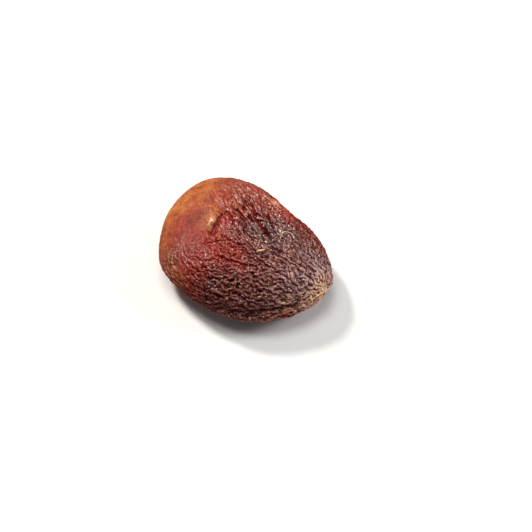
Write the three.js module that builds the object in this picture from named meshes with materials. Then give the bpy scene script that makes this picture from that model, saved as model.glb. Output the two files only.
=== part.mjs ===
import * as THREE from "three";
import { mergeVertices } from "three/addons/utils/BufferGeometryUtils.js";

// One brown dried apricot, stoned and left whole, lying flat on its belly.
// Sizes are millimetres and angles are degrees. +Z is up. +X runs along the fruit to its puckered
// stem end, and -X to its plump, smooth end. The origin is under the middle, on the resting face.

// The body in plan: a mean radius, and the waves that pull it out of round, by how many times each
// goes round the fruit.
const MEAN_RADIUS = 18.3;
const PLAN_WAVES = [
  { times: 2, cos: 2.3, sin: -0.5 },
  { times: 3, cos: 0.7, sin: 0.55 },
  { times: 4, cos: -0.2, sin: 0 },
  { times: 5, cos: 0.15, sin: 0.2 },
];

// The body from the side: the height of its widest line, how far it rises above that line and
// reaches below it, and how full its shoulders are (2 is an ellipsoid's, more is fuller).
const RIM_HEIGHT = 5.7;
const CROWN_RISE = 9.6;
const BELLY_DROP = 5.9;
const SHOULDER_POWER = 2.38;

// The skin's triangles: each edge of an icosahedron is cut into this many, and the points are
// crowded towards the crown and the belly so that they end up evenly spaced on the flat body.
const EDGE_CUTS = 24;
const CROWDING = 0.22;

// Soft lumps where the flesh dried unevenly: long low waves across the plan.
const LUMPS = [
  { heading: 15, length: 23, height: 0.12, phase: 40 },
  { heading: 75, length: 17, height: 0.1, phase: 200 },
  { heading: 140, length: 13, height: 0.1, phase: 310 },
];
const LUMP_TILT = 0.6; // how much of a lump wave runs up the height too

// Broad hollows and swells of the crown and belly: middle in plan, reach along and across a
// heading, and depth (below zero is a swell).
const HOLLOWS = [
  { name: "trough inside the plump rim", at: [-7, -4], heading: 100, along: 11, across: 3.2, depth: 0.75 },
  { name: "sunken dark spot", at: [5, 3], heading: -25, along: 4.2, across: 3.4, depth: 0.9 },
  { name: "swell beside the slit", at: [-7.6, -0.6], heading: 95, along: 3, across: 1.2, depth: -0.35 },
  { name: "oval dent", at: [-8.5, -13], heading: 70, along: 2.6, across: 1.8, depth: 0.3 },
  { name: "belly hollow", at: [-7, 7], heading: 25, along: 6, across: 2.6, depth: 0.8, under: true },
  { name: "belly fold", at: [10, -6], heading: 30, along: 6, across: 2.2, depth: 0.8, under: true },
];

// Creases, each a line over the crown through plan points, with its width and depth.
const CREASES = [
  { name: "slit", through: [[-6, 1.6], [-5.8, -1.5], [-5.4, -4]], width: 1.1, depth: 0.9 },
  { name: "second slit", through: [[-5.2, -6.8], [-3.4, -6.4], [-2, -5.6]], width: 1, depth: 0.5 },
  { name: "inner groove", through: [[-2.8, 7.9], [0.3, 6.1], [4.7, 3.2]], width: 1.1, depth: 0.7 },
  { name: "outer groove", through: [[-0.6, 8.7], [2.8, 6.6], [5.6, 4]], width: 1.1, depth: 0.6 },
  { name: "long crease", through: [[0.5, -5], [3.4, -4], [6.7, -3.1]], width: 1, depth: 0.5 },
  { name: "back fold", through: [[-3, 14.2], [4, 13.4], [11, 10.2]], width: 1.2, depth: 0.35 },
];
const CREASE_STEPS = 12;

// The slit the stone was pushed out of: a crease round the near flank, above a rolled lip. Both
// die away towards its ends.
const LIP = {
  fromBearing: -84,
  toBearing: 2,
  startLatitude: 8,
  endLatitude: 18,
  width: 1.2,
  depth: 1,
  roll: 0.35, // how far the lip below it stands out
  rollDrop: 2.2, // how far below the crease the lip's own ridge runs
  rollWidth: 1.5,
};
const LIP_STEPS = 20;

// The stem end, a small pit under the tip with the skin drawn in round it.
const STEM = { bearing: 6, share: 0.96, pitRadius: 1.5, pitDepth: 0.8, collarRadius: 2.9, collarRise: 0.2 };

// Wrinkles. Each guide says which way the wrinkles run where it is, how deep they are and how far
// they stray from that heading. They are spaced wider than the real ones, so that they read as
// ridges at this size.
const WRINKLE_PITCH = 2.6;
const WRINKLE_DEPTH = 0.8;
const WRINKLE_SHARPNESS = 0.75; // below 1 the ridges are round and the valleys are narrow
const WRINKLE_LEVEL = 0.6; // the share of a wrinkle's depth that is cut in, the rest standing out
const CLEAR_WAVE = 2; // the size of the patches' sum at which a wrinkle reaches its full depth
const GUIDE_REACH = 5.5;
const GUIDES = [
  { at: [-18, -3], heading: -48, strength: 0.1, stray: 30 },
  { at: [-14, 6], heading: -30, strength: 0.12, stray: 30 },
  { at: [-11, -5], heading: -30, strength: 0.2, stray: 30 },
  { at: [-7, -14], heading: -24, strength: 0.35, stray: 12 },
  { at: [-8, 9], heading: -26, strength: 0.45, stray: 26 },
  { at: [-2, 5], heading: -29, strength: 1, stray: 22 },
  { at: [5, 3], heading: -19, strength: 0.85, stray: 26 },
  { at: [-2, -4.5], heading: -6, strength: 0.75, stray: 30 },
  { at: [-1, -9], heading: 14, strength: 0.6, stray: 34 },
  { at: [4, -5], heading: 19, strength: 1, stray: 22 },
  { at: [4, -11], heading: 24, strength: 1.1, stray: 30 },
  { at: [9.5, -11], heading: 27, strength: 1.25, stray: 34 },
  { at: [14.5, -5.5], heading: 28, strength: 1.05, stray: 42 },
  { at: [11.5, -1.5], heading: 15, strength: 0.85, stray: 34 },
  { at: [10.5, 5.5], heading: -11, strength: 0.65, stray: 30 },
  { at: [17, 2.5], heading: -10, strength: 0.85, stray: 50 },
  { at: [0.5, 12], heading: -11, strength: 0.55, stray: 12 },
  { at: [-6, 13], heading: -13, strength: 0.4, stray: 26 },
  { at: [-13, -6], heading: -35, strength: 0.35, stray: 34, under: true },
  { at: [-9, 9], heading: -20, strength: 0.6, stray: 34, under: true },
  { at: [0, 12], heading: -5, strength: 0.8, stray: 34, under: true },
  { at: [4, -9], heading: 20, strength: 1, stray: 34, under: true },
  { at: [13, 4], heading: -12, strength: 0.9, stray: 40, under: true },
  { at: [14, -6], heading: 25, strength: 0.9, stray: 40, under: true },
];
const PATCH_COUNT = 1100; // the short stretches of wrinkle that the skin's pattern is made of
const PATCH_ALONG = 2.6;
const PATCH_ACROSS = 1.9;
const PATCH_ROUNDS = 5; // how often the patches are set in step with their neighbours
const SEED = 20261;

// The small flat spot on the belly: the relief fades out over this height above it.
const FLAT_FADE = 0.7;

const SKIN_COLOUR = 0x8a3f2c;
const SKIN_ROUGHNESS = 0.48;

const radians = THREE.MathUtils.degToRad;
const clamp = THREE.MathUtils.clamp;
const smoothstep = THREE.MathUtils.smoothstep;

// A seeded source of numbers from 0 to 1.
function randomSource(seed) {
  let state = seed;
  return () => {
    state = (state + 0x6d2b79f5) | 0;
    let t = Math.imul(state ^ (state >>> 15), 1 | state);
    t = (t + Math.imul(t ^ (t >>> 7), 61 | t)) ^ t;
    return ((t ^ (t >>> 14)) >>> 0) / 4294967296;
  };
}

// The plan radius of the widest line at an angle round the fruit, in radians.
function planRadius(angle) {
  return PLAN_WAVES.reduce(
    (radius, wave) => radius + wave.cos * Math.cos(wave.times * angle) + wave.sin * Math.sin(wave.times * angle),
    MEAN_RADIUS,
  );
}

// How far the smooth body rises above its widest line, or drops below it for the belly, where its
// plan reach is this share of the plan radius.
function bodyRise(share, under) {
  return Math.sqrt(Math.max(1 - share ** SHOULDER_POWER, 0)) * (under ? -BELLY_DROP : CROWN_RISE);
}

// The point of the smooth body at an angle round it, where its plan reach is this share of the
// plan radius.
function bodyPoint(angle, share, under) {
  const reach = share * planRadius(angle);
  return new THREE.Vector3(reach * Math.cos(angle), reach * Math.sin(angle), RIM_HEIGHT + bodyRise(share, under));
}

// The point of the smooth body above a plan point, or below it for the belly.
function pointOver([x, y], under = false) {
  const angle = Math.atan2(y, x);
  return bodyPoint(angle, Math.min(Math.hypot(x, y) / planRadius(angle), 1), under);
}

// The point of the smooth body that a direction stands for, with the crowding taken in.
function pointToward(direction) {
  const tilt = Math.acos(clamp(Math.abs(direction.z), 0, 1));
  const share = Math.sin(tilt - (CROWDING / 2) * Math.sin(2 * tilt));
  return bodyPoint(Math.atan2(direction.y, direction.x), share, direction.z < 0);
}

// How far a point is from a line through several points.
function distanceToLine(point, line) {
  const nearest = new THREE.Vector3();
  const segment = new THREE.Line3();
  let least = Infinity;
  for (let i = 1; i < line.length; i += 1) {
    segment.set(line[i - 1], line[i]).closestPointToPoint(point, true, nearest);
    least = Math.min(least, nearest.distanceTo(point));
  }
  return least;
}

const bump = (distance, width) => Math.exp(-((distance / width) ** 2));

// Soft lumps over the whole body.
function lumpHeight(point) {
  return LUMPS.reduce((sum, { heading, length, height, phase }) => {
    const across = point.x * Math.cos(radians(heading)) + point.y * Math.sin(radians(heading));
    return sum + height * Math.sin((2 * Math.PI * (across + LUMP_TILT * point.z)) / length + radians(phase));
  }, 0);
}

// The broad hollows and swells.
function hollowHeight(point) {
  return HOLLOWS.reduce((sum, { at, heading, along, across, depth, under }) => {
    const away = point.clone().sub(pointOver(at, under));
    const forward = away.x * Math.cos(radians(heading)) + away.y * Math.sin(radians(heading));
    const sideways = -away.x * Math.sin(radians(heading)) + away.y * Math.cos(radians(heading));
    const reach = Math.hypot(forward / along, sideways / across, away.z / across);
    return sum - depth * Math.exp(-reach * reach);
  }, 0);
}

const creaseLines = CREASES.map(({ through, width, depth }) => ({
  line: new THREE.CatmullRomCurve3(through.map((at) => pointOver(at))).getPoints(CREASE_STEPS),
  width,
  depth,
}));

function creaseHeight(point) {
  return creaseLines.reduce((sum, { line, width, depth }) => sum - depth * bump(distanceToLine(point, line), width), 0);
}

// The crease over the rolled lip, and the lip's ridge below it.
const lipCrease = [];
for (let step = 0; step <= LIP_STEPS; step += 1) {
  const bearing = radians(THREE.MathUtils.lerp(LIP.fromBearing, LIP.toBearing, step / LIP_STEPS));
  const latitude = radians(THREE.MathUtils.lerp(LIP.startLatitude, LIP.endLatitude, step / LIP_STEPS));
  lipCrease.push(bodyPoint(bearing, Math.cos(latitude) ** (2 / SHOULDER_POWER), false));
}
const lipRidge = lipCrease.map((p) => p.clone().setZ(p.z - LIP.rollDrop));

function lipHeight(point) {
  const crease = bump(distanceToLine(point, lipCrease), LIP.width);
  const ridge = bump(distanceToLine(point, lipRidge), LIP.rollWidth);
  const bearing = THREE.MathUtils.radToDeg(Math.atan2(point.y, point.x));
  const share = clamp((bearing - LIP.fromBearing) / (LIP.toBearing - LIP.fromBearing), 0, 1);
  return Math.sin(Math.PI * share) * (LIP.roll * ridge - LIP.depth * crease);
}

const stemEnd = bodyPoint(radians(STEM.bearing), STEM.share, true);

function stemHeight(point) {
  const away = point.distanceTo(stemEnd);
  return STEM.collarRise * bump(away - STEM.collarRadius, STEM.pitRadius) - STEM.pitDepth * bump(away, STEM.pitRadius);
}

// The guides round a point, blended: the wrinkles' heading along the skin, their strength and stray.
const guidePoints = GUIDES.map((guide) => ({ ...guide, point: pointOver(guide.at, guide.under) }));

function guideAt(point, normal) {
  const flow = new THREE.Vector3();
  let total = 0;
  let strength = 0;
  let stray = 0;
  for (const guide of guidePoints) {
    const weight = bump(point.distanceTo(guide.point), GUIDE_REACH * Math.SQRT2) + 1e-9;
    flow.x += weight * Math.cos(radians(guide.heading));
    flow.y += weight * Math.sin(radians(guide.heading));
    total += weight;
    strength += weight * guide.strength;
    stray += weight * guide.stray;
  }
  flow.projectOnPlane(normal).normalize();
  return { flow, strength: strength / total, stray: stray / total };
}

// How the flat body's faces lean, against those of a ball of the same width.
const FLATNESS = (MEAN_RADIUS / CROWN_RISE) ** 2;

// Patches of wrinkle spread evenly over the body, each a short run of waves along the guides.
function wrinklePatches(random) {
  const goldenAngle = Math.PI * (3 - Math.sqrt(5));
  const patches = [];
  for (let i = 0; i < PATCH_COUNT; i += 1) {
    const level = 1 - (2 * (i + random())) / PATCH_COUNT;
    const angle = i * goldenAngle;
    const reach = Math.sqrt(1 - level * level);
    const direction = new THREE.Vector3(reach * Math.cos(angle), reach * Math.sin(angle), level);
    const middle = pointToward(direction);
    const normal = new THREE.Vector3(middle.x, middle.y, FLATNESS * (middle.z - RIM_HEIGHT)).normalize();
    const { flow, stray } = guideAt(middle, normal);
    flow.applyAxisAngle(normal, radians(stray) * (random() + random() + random() - 1.5));
    const wave = normal.clone().cross(flow).multiplyScalar((2 * Math.PI) / WRINKLE_PITCH);
    patches.push({ middle, flow, wave, phase: 2 * Math.PI * random() });
  }
  return patches;
}

// The sum of the patches' waves at a point: its phase says ridge or valley, its size how clear.
function waveAt(point, patches, skip = -1) {
  let real = 0;
  let imaginary = 0;
  patches.forEach(({ middle, flow, wave, phase }, i) => {
    const x = point.x - middle.x;
    const y = point.y - middle.y;
    const z = point.z - middle.z;
    const squared = x * x + y * y + z * z;
    if (i === skip || squared > 9 * PATCH_ALONG * PATCH_ALONG) return;
    const along = x * flow.x + y * flow.y + z * flow.z;
    const across = squared - along * along;
    const weight = Math.exp(
      -(along * along) / (2 * PATCH_ALONG * PATCH_ALONG) - across / (2 * PATCH_ACROSS * PATCH_ACROSS),
    );
    const turn = x * wave.x + y * wave.y + z * wave.z + phase;
    real += weight * Math.cos(turn);
    imaginary += weight * Math.sin(turn);
  });
  return { phase: Math.atan2(imaginary, real), size: Math.hypot(real, imaginary) };
}

const patches = wrinklePatches(randomSource(SEED));
for (let round = 0; round < PATCH_ROUNDS; round += 1) {
  patches.forEach((patch, i) => {
    patch.phase = waveAt(patch.middle, patches, i).phase;
  });
}

// Ridges are round and valleys narrow; where the patches disagree the wrinkles die away.
function wrinkleHeight(point, normal) {
  const { phase, size } = waveAt(point, patches);
  const { strength } = guideAt(point, normal);
  const profile = Math.abs(Math.cos(phase / 2)) ** WRINKLE_SHARPNESS - WRINKLE_LEVEL;
  return WRINKLE_DEPTH * strength * clamp(size / CLEAR_WAVE, 0, 1) * profile;
}

// The skin: an icosahedron's faces cut fine, moved out to the body, then given its relief.
function apricotGeometry() {
  const sphere = new THREE.IcosahedronGeometry(1, EDGE_CUTS - 1);
  sphere.deleteAttribute("normal");
  sphere.deleteAttribute("uv");
  const skin = mergeVertices(sphere, 1e-5);
  const place = skin.getAttribute("position");
  const point = new THREE.Vector3();
  const normal = new THREE.Vector3();
  for (let i = 0; i < place.count; i += 1) {
    point.copy(pointToward(point.fromBufferAttribute(place, i)));
    place.setXYZ(i, point.x, point.y, point.z);
  }
  skin.computeVertexNormals();
  const normals = skin.getAttribute("normal");
  for (let i = 0; i < place.count; i += 1) {
    point.fromBufferAttribute(place, i);
    normal.fromBufferAttribute(normals, i);
    const fade = smoothstep(point.z, 0, FLAT_FADE);
    const relief =
      lumpHeight(point) +
      hollowHeight(point) +
      creaseHeight(point) +
      lipHeight(point) +
      stemHeight(point) +
      wrinkleHeight(point, normal);
    point.addScaledVector(normal, fade * relief);
    place.setXYZ(i, point.x, point.y, Math.max(point.z, 0));
  }
  skin.deleteAttribute("normal");
  skin.computeBoundingBox();
  const middle = skin.boundingBox.getCenter(new THREE.Vector3());
  skin.translate(-middle.x, -middle.y, -skin.boundingBox.min.z);
  return skin;
}

const skinMaterial = new THREE.MeshStandardMaterial({
  color: SKIN_COLOUR,
  roughness: SKIN_ROUGHNESS,
  metalness: 0,
  flatShading: true,
});
const apricot = new THREE.Mesh(apricotGeometry(), skinMaterial);
apricot.name = "dried_apricot";

const fruit = new THREE.Group();
fruit.add(apricot);

export default fruit;
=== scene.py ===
"""One brown dried apricot, stoned and dried whole, lying flat on pale card under soft studio light.

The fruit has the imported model's form, hollows and creases, worked out again at a much finer spacing,
with its wrinkles at their real pitch. Sizes are millimetres until a mesh is made, and angles are degrees.
"""

import logging
import math
from collections.abc import Mapping
from dataclasses import dataclass, field
from enum import Enum
from typing import Any

import bpy
import numpy as np
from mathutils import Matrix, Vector

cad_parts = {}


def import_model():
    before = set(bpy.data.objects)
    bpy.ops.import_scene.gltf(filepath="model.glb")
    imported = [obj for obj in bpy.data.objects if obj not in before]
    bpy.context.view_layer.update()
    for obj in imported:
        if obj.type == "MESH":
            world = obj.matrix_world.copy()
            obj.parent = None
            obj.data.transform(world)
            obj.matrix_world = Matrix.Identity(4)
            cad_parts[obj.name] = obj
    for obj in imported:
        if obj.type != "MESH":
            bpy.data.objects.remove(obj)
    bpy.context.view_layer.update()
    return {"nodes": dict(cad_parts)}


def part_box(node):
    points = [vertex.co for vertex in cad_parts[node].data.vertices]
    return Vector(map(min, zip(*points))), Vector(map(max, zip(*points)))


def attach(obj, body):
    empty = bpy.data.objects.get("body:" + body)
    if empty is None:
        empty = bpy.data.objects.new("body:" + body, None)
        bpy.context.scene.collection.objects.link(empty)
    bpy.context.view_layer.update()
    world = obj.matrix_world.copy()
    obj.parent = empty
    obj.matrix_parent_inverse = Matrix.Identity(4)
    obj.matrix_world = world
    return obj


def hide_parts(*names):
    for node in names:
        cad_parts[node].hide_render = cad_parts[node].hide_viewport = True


LOG = logging.getLogger("dried apricot")
NODE = "dried_apricot"
BODY = "root"
MM = 0.001
NOISE_RANGE = (0.3, 0.7)
GOLDEN_ANGLE = math.pi * (3 - math.sqrt(5))

Array = np.ndarray
Tree = bpy.types.NodeTree


class Zone(Enum):
    """The stretches of skin that dried to different colours; each is a value from 0 to 1 on the mesh.

    Some also carry painted light: a glow painted at the orange end, painted shade on the dark maroon flank
    and belly, painted highlights on the pale swell by the slit and at the tip, and painted sheen on the grey
    crown.
    """

    PLUMP_AND_GLOW = "plump_and_glow"
    RUDDY = "ruddy"
    DUSK = "dusk"
    MAROON_AND_SHADE = "maroon_and_shade"
    BLOOM = "bloom"
    ASHEN = "ashen"
    CREAM_AND_HIGHLIGHT = "cream_and_highlight"
    WINE = "wine"
    ROSE = "rose"


def bump(distance: Array, width: float) -> Array:
    """Returns a smooth bump, 1 where the distance is 0 and nearly 0 at twice the width."""
    return np.exp(-np.square(distance / width))


def smooth_step(value: Array, low: float, high: float) -> Array:
    """Returns 0 below low, 1 above high, and a smooth rise between them."""
    share = np.clip((value - low) / (high - low), 0.0, 1.0)
    return share * share * (3.0 - 2.0 * share)


def heading_vector(heading: float) -> Array:
    """Returns the level unit vector at a heading counted from +X towards +Y."""
    return np.array([math.cos(math.radians(heading)), math.sin(math.radians(heading)), 0.0])


def smooth_line(through: Array, steps: int) -> Array:
    """Draws a Catmull-Rom curve through a few points.

    Args:
        through: The points, one a row.
        steps: The stretches that each gap between two points is cut into.

    Returns:
        The curve's points, one a row.
    """
    ends = np.vstack([2 * through[0] - through[1], through, 2 * through[-1] - through[-2]])
    share = np.linspace(0.0, 1.0, steps, endpoint=False)[:, None]
    runs = []
    for a, b, c, d in zip(ends[:-3], ends[1:-2], ends[2:-1], ends[3:]):
        bend = (2 * a - 5 * b + 4 * c - d) * share**2 + (3 * b - a - 3 * c + d) * share**3
        runs.append((2 * b + (c - a) * share + bend) / 2)
    return np.vstack([*runs, through[-1:]])


def distance_to_line(points: Array, line: Array) -> Array:
    """Measures how far each point is from a line through several points.

    Args:
        points: The points to measure from, one a row.
        line: The line's own points, one a row.

    Returns:
        The least distance of each point.
    """
    least = np.full(len(points), np.inf)
    for start, end in zip(line[:-1], line[1:]):
        run = end - start
        share = np.clip((points - start) @ run / (run @ run), 0.0, 1.0)
        away = points - start - share[:, None] * run
        least = np.minimum(least, np.einsum("ij,ij->i", away, away))
    return np.sqrt(least)


def spiral(count: int, random: np.random.Generator, loose: float = 0.0) -> Array:
    """Spreads directions evenly over a ball along a spiral, each a little off its place.

    Args:
        count: How many directions.
        random: The source of chance.
        loose: How far a direction may be off along the spiral's turn, in radians.

    Returns:
        The unit directions, one a row.
    """
    rank = np.arange(count)
    level = 1 - 2 * (rank + random.random(count)) / count
    angle = rank * GOLDEN_ANGLE
    if loose:
        angle = angle + random.uniform(-loose, loose, count)
    ring = np.sqrt(1 - level**2)
    return np.stack([ring * np.cos(angle), ring * np.sin(angle), level], axis=1)


def bell(count: int, random: np.random.Generator) -> Array:
    """Returns random numbers from -1.5 to 1.5 that crowd round 0."""
    return random.random((3, count)).sum(axis=0) - 1.5


def laid_on(flow: Array, normals: Array) -> Array:
    """Returns the unit directions along a skin, given by its normals, that are nearest to flow vectors."""
    flow = flow - normals * np.einsum("ij,ij->i", flow, normals)[:, None]
    return flow / np.linalg.norm(flow, axis=1, keepdims=True)


def turned(flow: Array, normals: Array, angle: Array) -> Array:
    """Returns directions along a skin turned about its normals by angles in radians."""
    return flow * np.cos(angle)[:, None] + np.cross(normals, flow) * np.sin(angle)[:, None]


@dataclass(frozen=True)
class PlanWave:
    """One wave that pulls the plan outline out of round, by how many times it goes round the fruit."""

    times: int
    cos: float
    sin: float


@dataclass(frozen=True)
class Body:
    """The smooth body under the relief: a plan outline, a crown above its widest line and a belly below."""

    mean_radius: float = 18.3
    waves: tuple[PlanWave, ...] = (
        PlanWave(2, 2.3, -0.5),
        PlanWave(3, 0.7, 0.55),
        PlanWave(4, -0.2, 0.0),
        PlanWave(5, 0.15, 0.2),
    )
    rim_height: float = 5.7
    crown_rise: float = 9.6
    belly_drop: float = 5.9
    shoulder_power: float = 2.38
    crowding: float = 0.22

    def plan_radius(self, angle: Array) -> Array:
        """Works out the plan radius of the widest line.

        Args:
            angle: The angles round the fruit, in radians.

        Returns:
            The radius at each angle.
        """
        radius = np.full(np.shape(angle), self.mean_radius)
        for wave in self.waves:
            radius = radius + wave.cos * np.cos(wave.times * angle) + wave.sin * np.sin(wave.times * angle)
        return radius

    def point(self, angle: Array, share: Array, under: Array) -> Array:
        """Finds points of the smooth body.

        Args:
            angle: The angles round the fruit, in radians.
            share: The plan reach as a share of the plan radius.
            under: True where the point is on the belly.

        Returns:
            The points, one a row.
        """
        reach = share * self.plan_radius(angle)
        rise = np.sqrt(np.maximum(1.0 - share**self.shoulder_power, 0.0))
        height = self.rim_height + rise * np.where(under, -self.belly_drop, self.crown_rise)
        return np.stack([reach * np.cos(angle), reach * np.sin(angle), height], axis=-1)

    def over(self, x: float, y: float, under: bool = False) -> Array:
        """Finds the point of the smooth body above a plan point, or below it for the belly.

        Args:
            x: The plan point's place along the fruit.
            y: Its place across the fruit.
            under: True for the belly.

        Returns:
            The point.
        """
        angle = np.arctan2(y, x)
        share = np.minimum(np.hypot(x, y) / self.plan_radius(angle), 1.0)
        return self.point(angle, share, np.asarray(under))

    def toward(self, directions: Array) -> Array:
        """Finds the points that directions stand for, crowded so that they end up evenly spaced.

        Args:
            directions: The unit directions, one a row.

        Returns:
            The points of the smooth body, one a row.
        """
        tilt = np.arccos(np.clip(np.abs(directions[:, 2]), 0.0, 1.0))
        share = np.sin(tilt - (self.crowding / 2) * np.sin(2 * tilt))
        return self.point(np.arctan2(directions[:, 1], directions[:, 0]), share, directions[:, 2] < 0)

    def leaning(self, points: Array) -> Array:
        """Estimates which way is outwards at points near the body.

        Args:
            points: The points, one a row.

        Returns:
            The outward unit directions, one a row.
        """
        flatness = (self.mean_radius / self.crown_rise) ** 2
        lean = points * [1.0, 1.0, flatness] - [0.0, 0.0, flatness * self.rim_height]
        return lean / np.linalg.norm(lean, axis=1, keepdims=True)


@dataclass(frozen=True)
class Lump:
    """One long low wave left where the flesh dried unevenly."""

    heading: float
    length: float
    height: float
    phase: float
    tilt: float = 0.6

    def relief(self, points: Array) -> Array:
        """Returns how far the lump moves the skin out at each point."""
        across = points @ heading_vector(self.heading) + self.tilt * points[:, 2]
        return self.height * np.sin(2 * math.pi * across / self.length + math.radians(self.phase))


@dataclass(frozen=True)
class Hollow:
    """One broad hollow of the crown or belly, or a swell where its depth is below zero."""

    at: tuple[float, float]
    heading: float
    along: float
    across: float
    depth: float
    under: bool = False

    def relief(self, points: Array, body: Body) -> Array:
        """Works out the hollow's relief.

        Args:
            points: The skin's points.
            body: The smooth body.

        Returns:
            How far the hollow moves the skin out at each point.
        """
        away = points - body.over(*self.at, self.under)
        forward = away @ heading_vector(self.heading) / self.along
        sideways = away @ heading_vector(self.heading + 90.0) / self.across
        return -self.depth * np.exp(-(forward**2 + sideways**2 + (away[:, 2] / self.across) ** 2))


@dataclass(frozen=True)
class Crease:
    """One crease over the crown through plan points, with a narrow cut inside a wider dip.

    The flare says how many times wider the cut gets towards its last point, the taper where along it the cut
    starts to fade, and the stain how far the cut is painted inside with a wet red darkened by painted shade.
    """

    through: tuple[tuple[float, float], ...]
    width: float
    depth: float
    cut_width: float
    cut_depth: float
    flare: float = 1.0
    taper: float = 0.35
    stain: float = 0.0
    steps: int = 6

    def line(self, body: Body) -> Array:
        """Returns the crease's points on the smooth body."""
        return smooth_line(np.array([body.over(*at) for at in self.through]), self.steps)

    def relief(self, points: Array, body: Body) -> tuple[Array, Array]:
        """Measures the crease, which fades out towards its ends.

        Args:
            points: The skin's points.
            body: The smooth body.

        Returns:
            How far it moves the skin out at each point, and from 0 to 1 how deep in its cut a point is.
        """
        line = self.line(body)
        middle = (line[0] + line[-1]) / 2
        half = np.linalg.norm(line[-1] - line[0]) / 2 + self.width
        fade = 1.0 - smooth_step(np.linalg.norm(points - middle, axis=1), self.taper * half, half)
        away = distance_to_line(points, line)
        run = line[-1] - line[0]
        share = np.clip((points - line[0]) @ run / (run @ run), 0.0, 1.0)
        cut = fade * bump(away, self.cut_width * (1.0 + (self.flare - 1.0) * share))
        return -self.depth * bump(away, self.width) - self.cut_depth * cut, cut


@dataclass(frozen=True)
class Lip:
    """The slit the stone was pushed out of: a crease round the near flank above a rolled lip."""

    from_bearing: float = -84.0
    to_bearing: float = 2.0
    start_latitude: float = 8.0
    end_latitude: float = 18.0
    width: float = 1.1
    depth: float = 0.7
    cut_width: float = 0.32
    cut_depth: float = 0.38
    stain: float = 0.0
    roll: float = 0.35
    roll_drop: float = 2.2
    roll_width: float = 1.5
    breaks: float = 3.0
    breaks_seed: int = 61
    steps: int = 30

    def line(self, body: Body) -> Array:
        """Draws the crease.

        Args:
            body: The smooth body.

        Returns:
            The crease's points on the smooth body.
        """
        bearing = np.radians(np.linspace(self.from_bearing, self.to_bearing, self.steps + 1))
        latitude = np.radians(np.linspace(self.start_latitude, self.end_latitude, self.steps + 1))
        share = np.cos(latitude) ** (2 / body.shoulder_power)
        return body.point(bearing, share, np.zeros(len(bearing), bool))

    def relief(self, points: Array, body: Body) -> tuple[Array, Array]:
        """Measures the crease and its lip.

        Args:
            points: The skin's points.
            body: The smooth body.

        Returns:
            How far they move the skin out at each point, and from 0 to 1 how deep in the cut a point is.
        """
        line = self.line(body)
        away = distance_to_line(points, line)
        ridge = bump(distance_to_line(points, line - [0.0, 0.0, self.roll_drop]), self.roll_width)
        bearing = np.degrees(np.arctan2(points[:, 1], points[:, 0]))
        share = np.clip((bearing - self.from_bearing) / (self.to_bearing - self.from_bearing), 0.0, 1.0)
        fade = np.sin(math.pi * share)
        broken = np.clip(0.55 + 0.5 * Ripples(self.breaks_seed, self.breaks).at(points), 0.05, 1.0)
        cut = fade * broken * bump(away, self.cut_width)
        dip = fade * bump(away, self.width)
        return self.roll * fade * ridge - self.depth * dip - self.cut_depth * cut, cut


@dataclass(frozen=True)
class StemEnd:
    """The small pit under the tip, with the skin drawn in round it."""

    bearing: float = 6.0
    share: float = 0.96
    pit_radius: float = 1.3
    pit_depth: float = 1.0
    collar_radius: float = 2.7
    collar_rise: float = 0.25

    def middle(self, body: Body) -> Array:
        """Returns the pit's middle on the smooth body."""
        return body.point(np.radians(self.bearing), np.asarray(self.share), np.asarray(True))

    def relief(self, points: Array, body: Body) -> Array:
        """Works out the stem end's relief.

        Args:
            points: The skin's points.
            body: The smooth body.

        Returns:
            How far the stem end moves the skin out at each point.
        """
        away = np.linalg.norm(points - self.middle(body), axis=1)
        collar = bump(away - self.collar_radius, self.pit_radius)
        return self.collar_rise * collar - self.pit_depth * bump(away, self.pit_radius)


@dataclass(frozen=True)
class Guide:
    """Which way the wrinkles run at a place, how deep and far apart they are, and how far they stray.

    The pitch is in millimetres. The lace says how far the wrinkles are thin ridges and not thin furrows.
    """

    at: tuple[float, float]
    heading: float
    strength: float
    stray: float
    pitch: float = 1.1
    lace: float = 0.0
    under: bool = False


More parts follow.
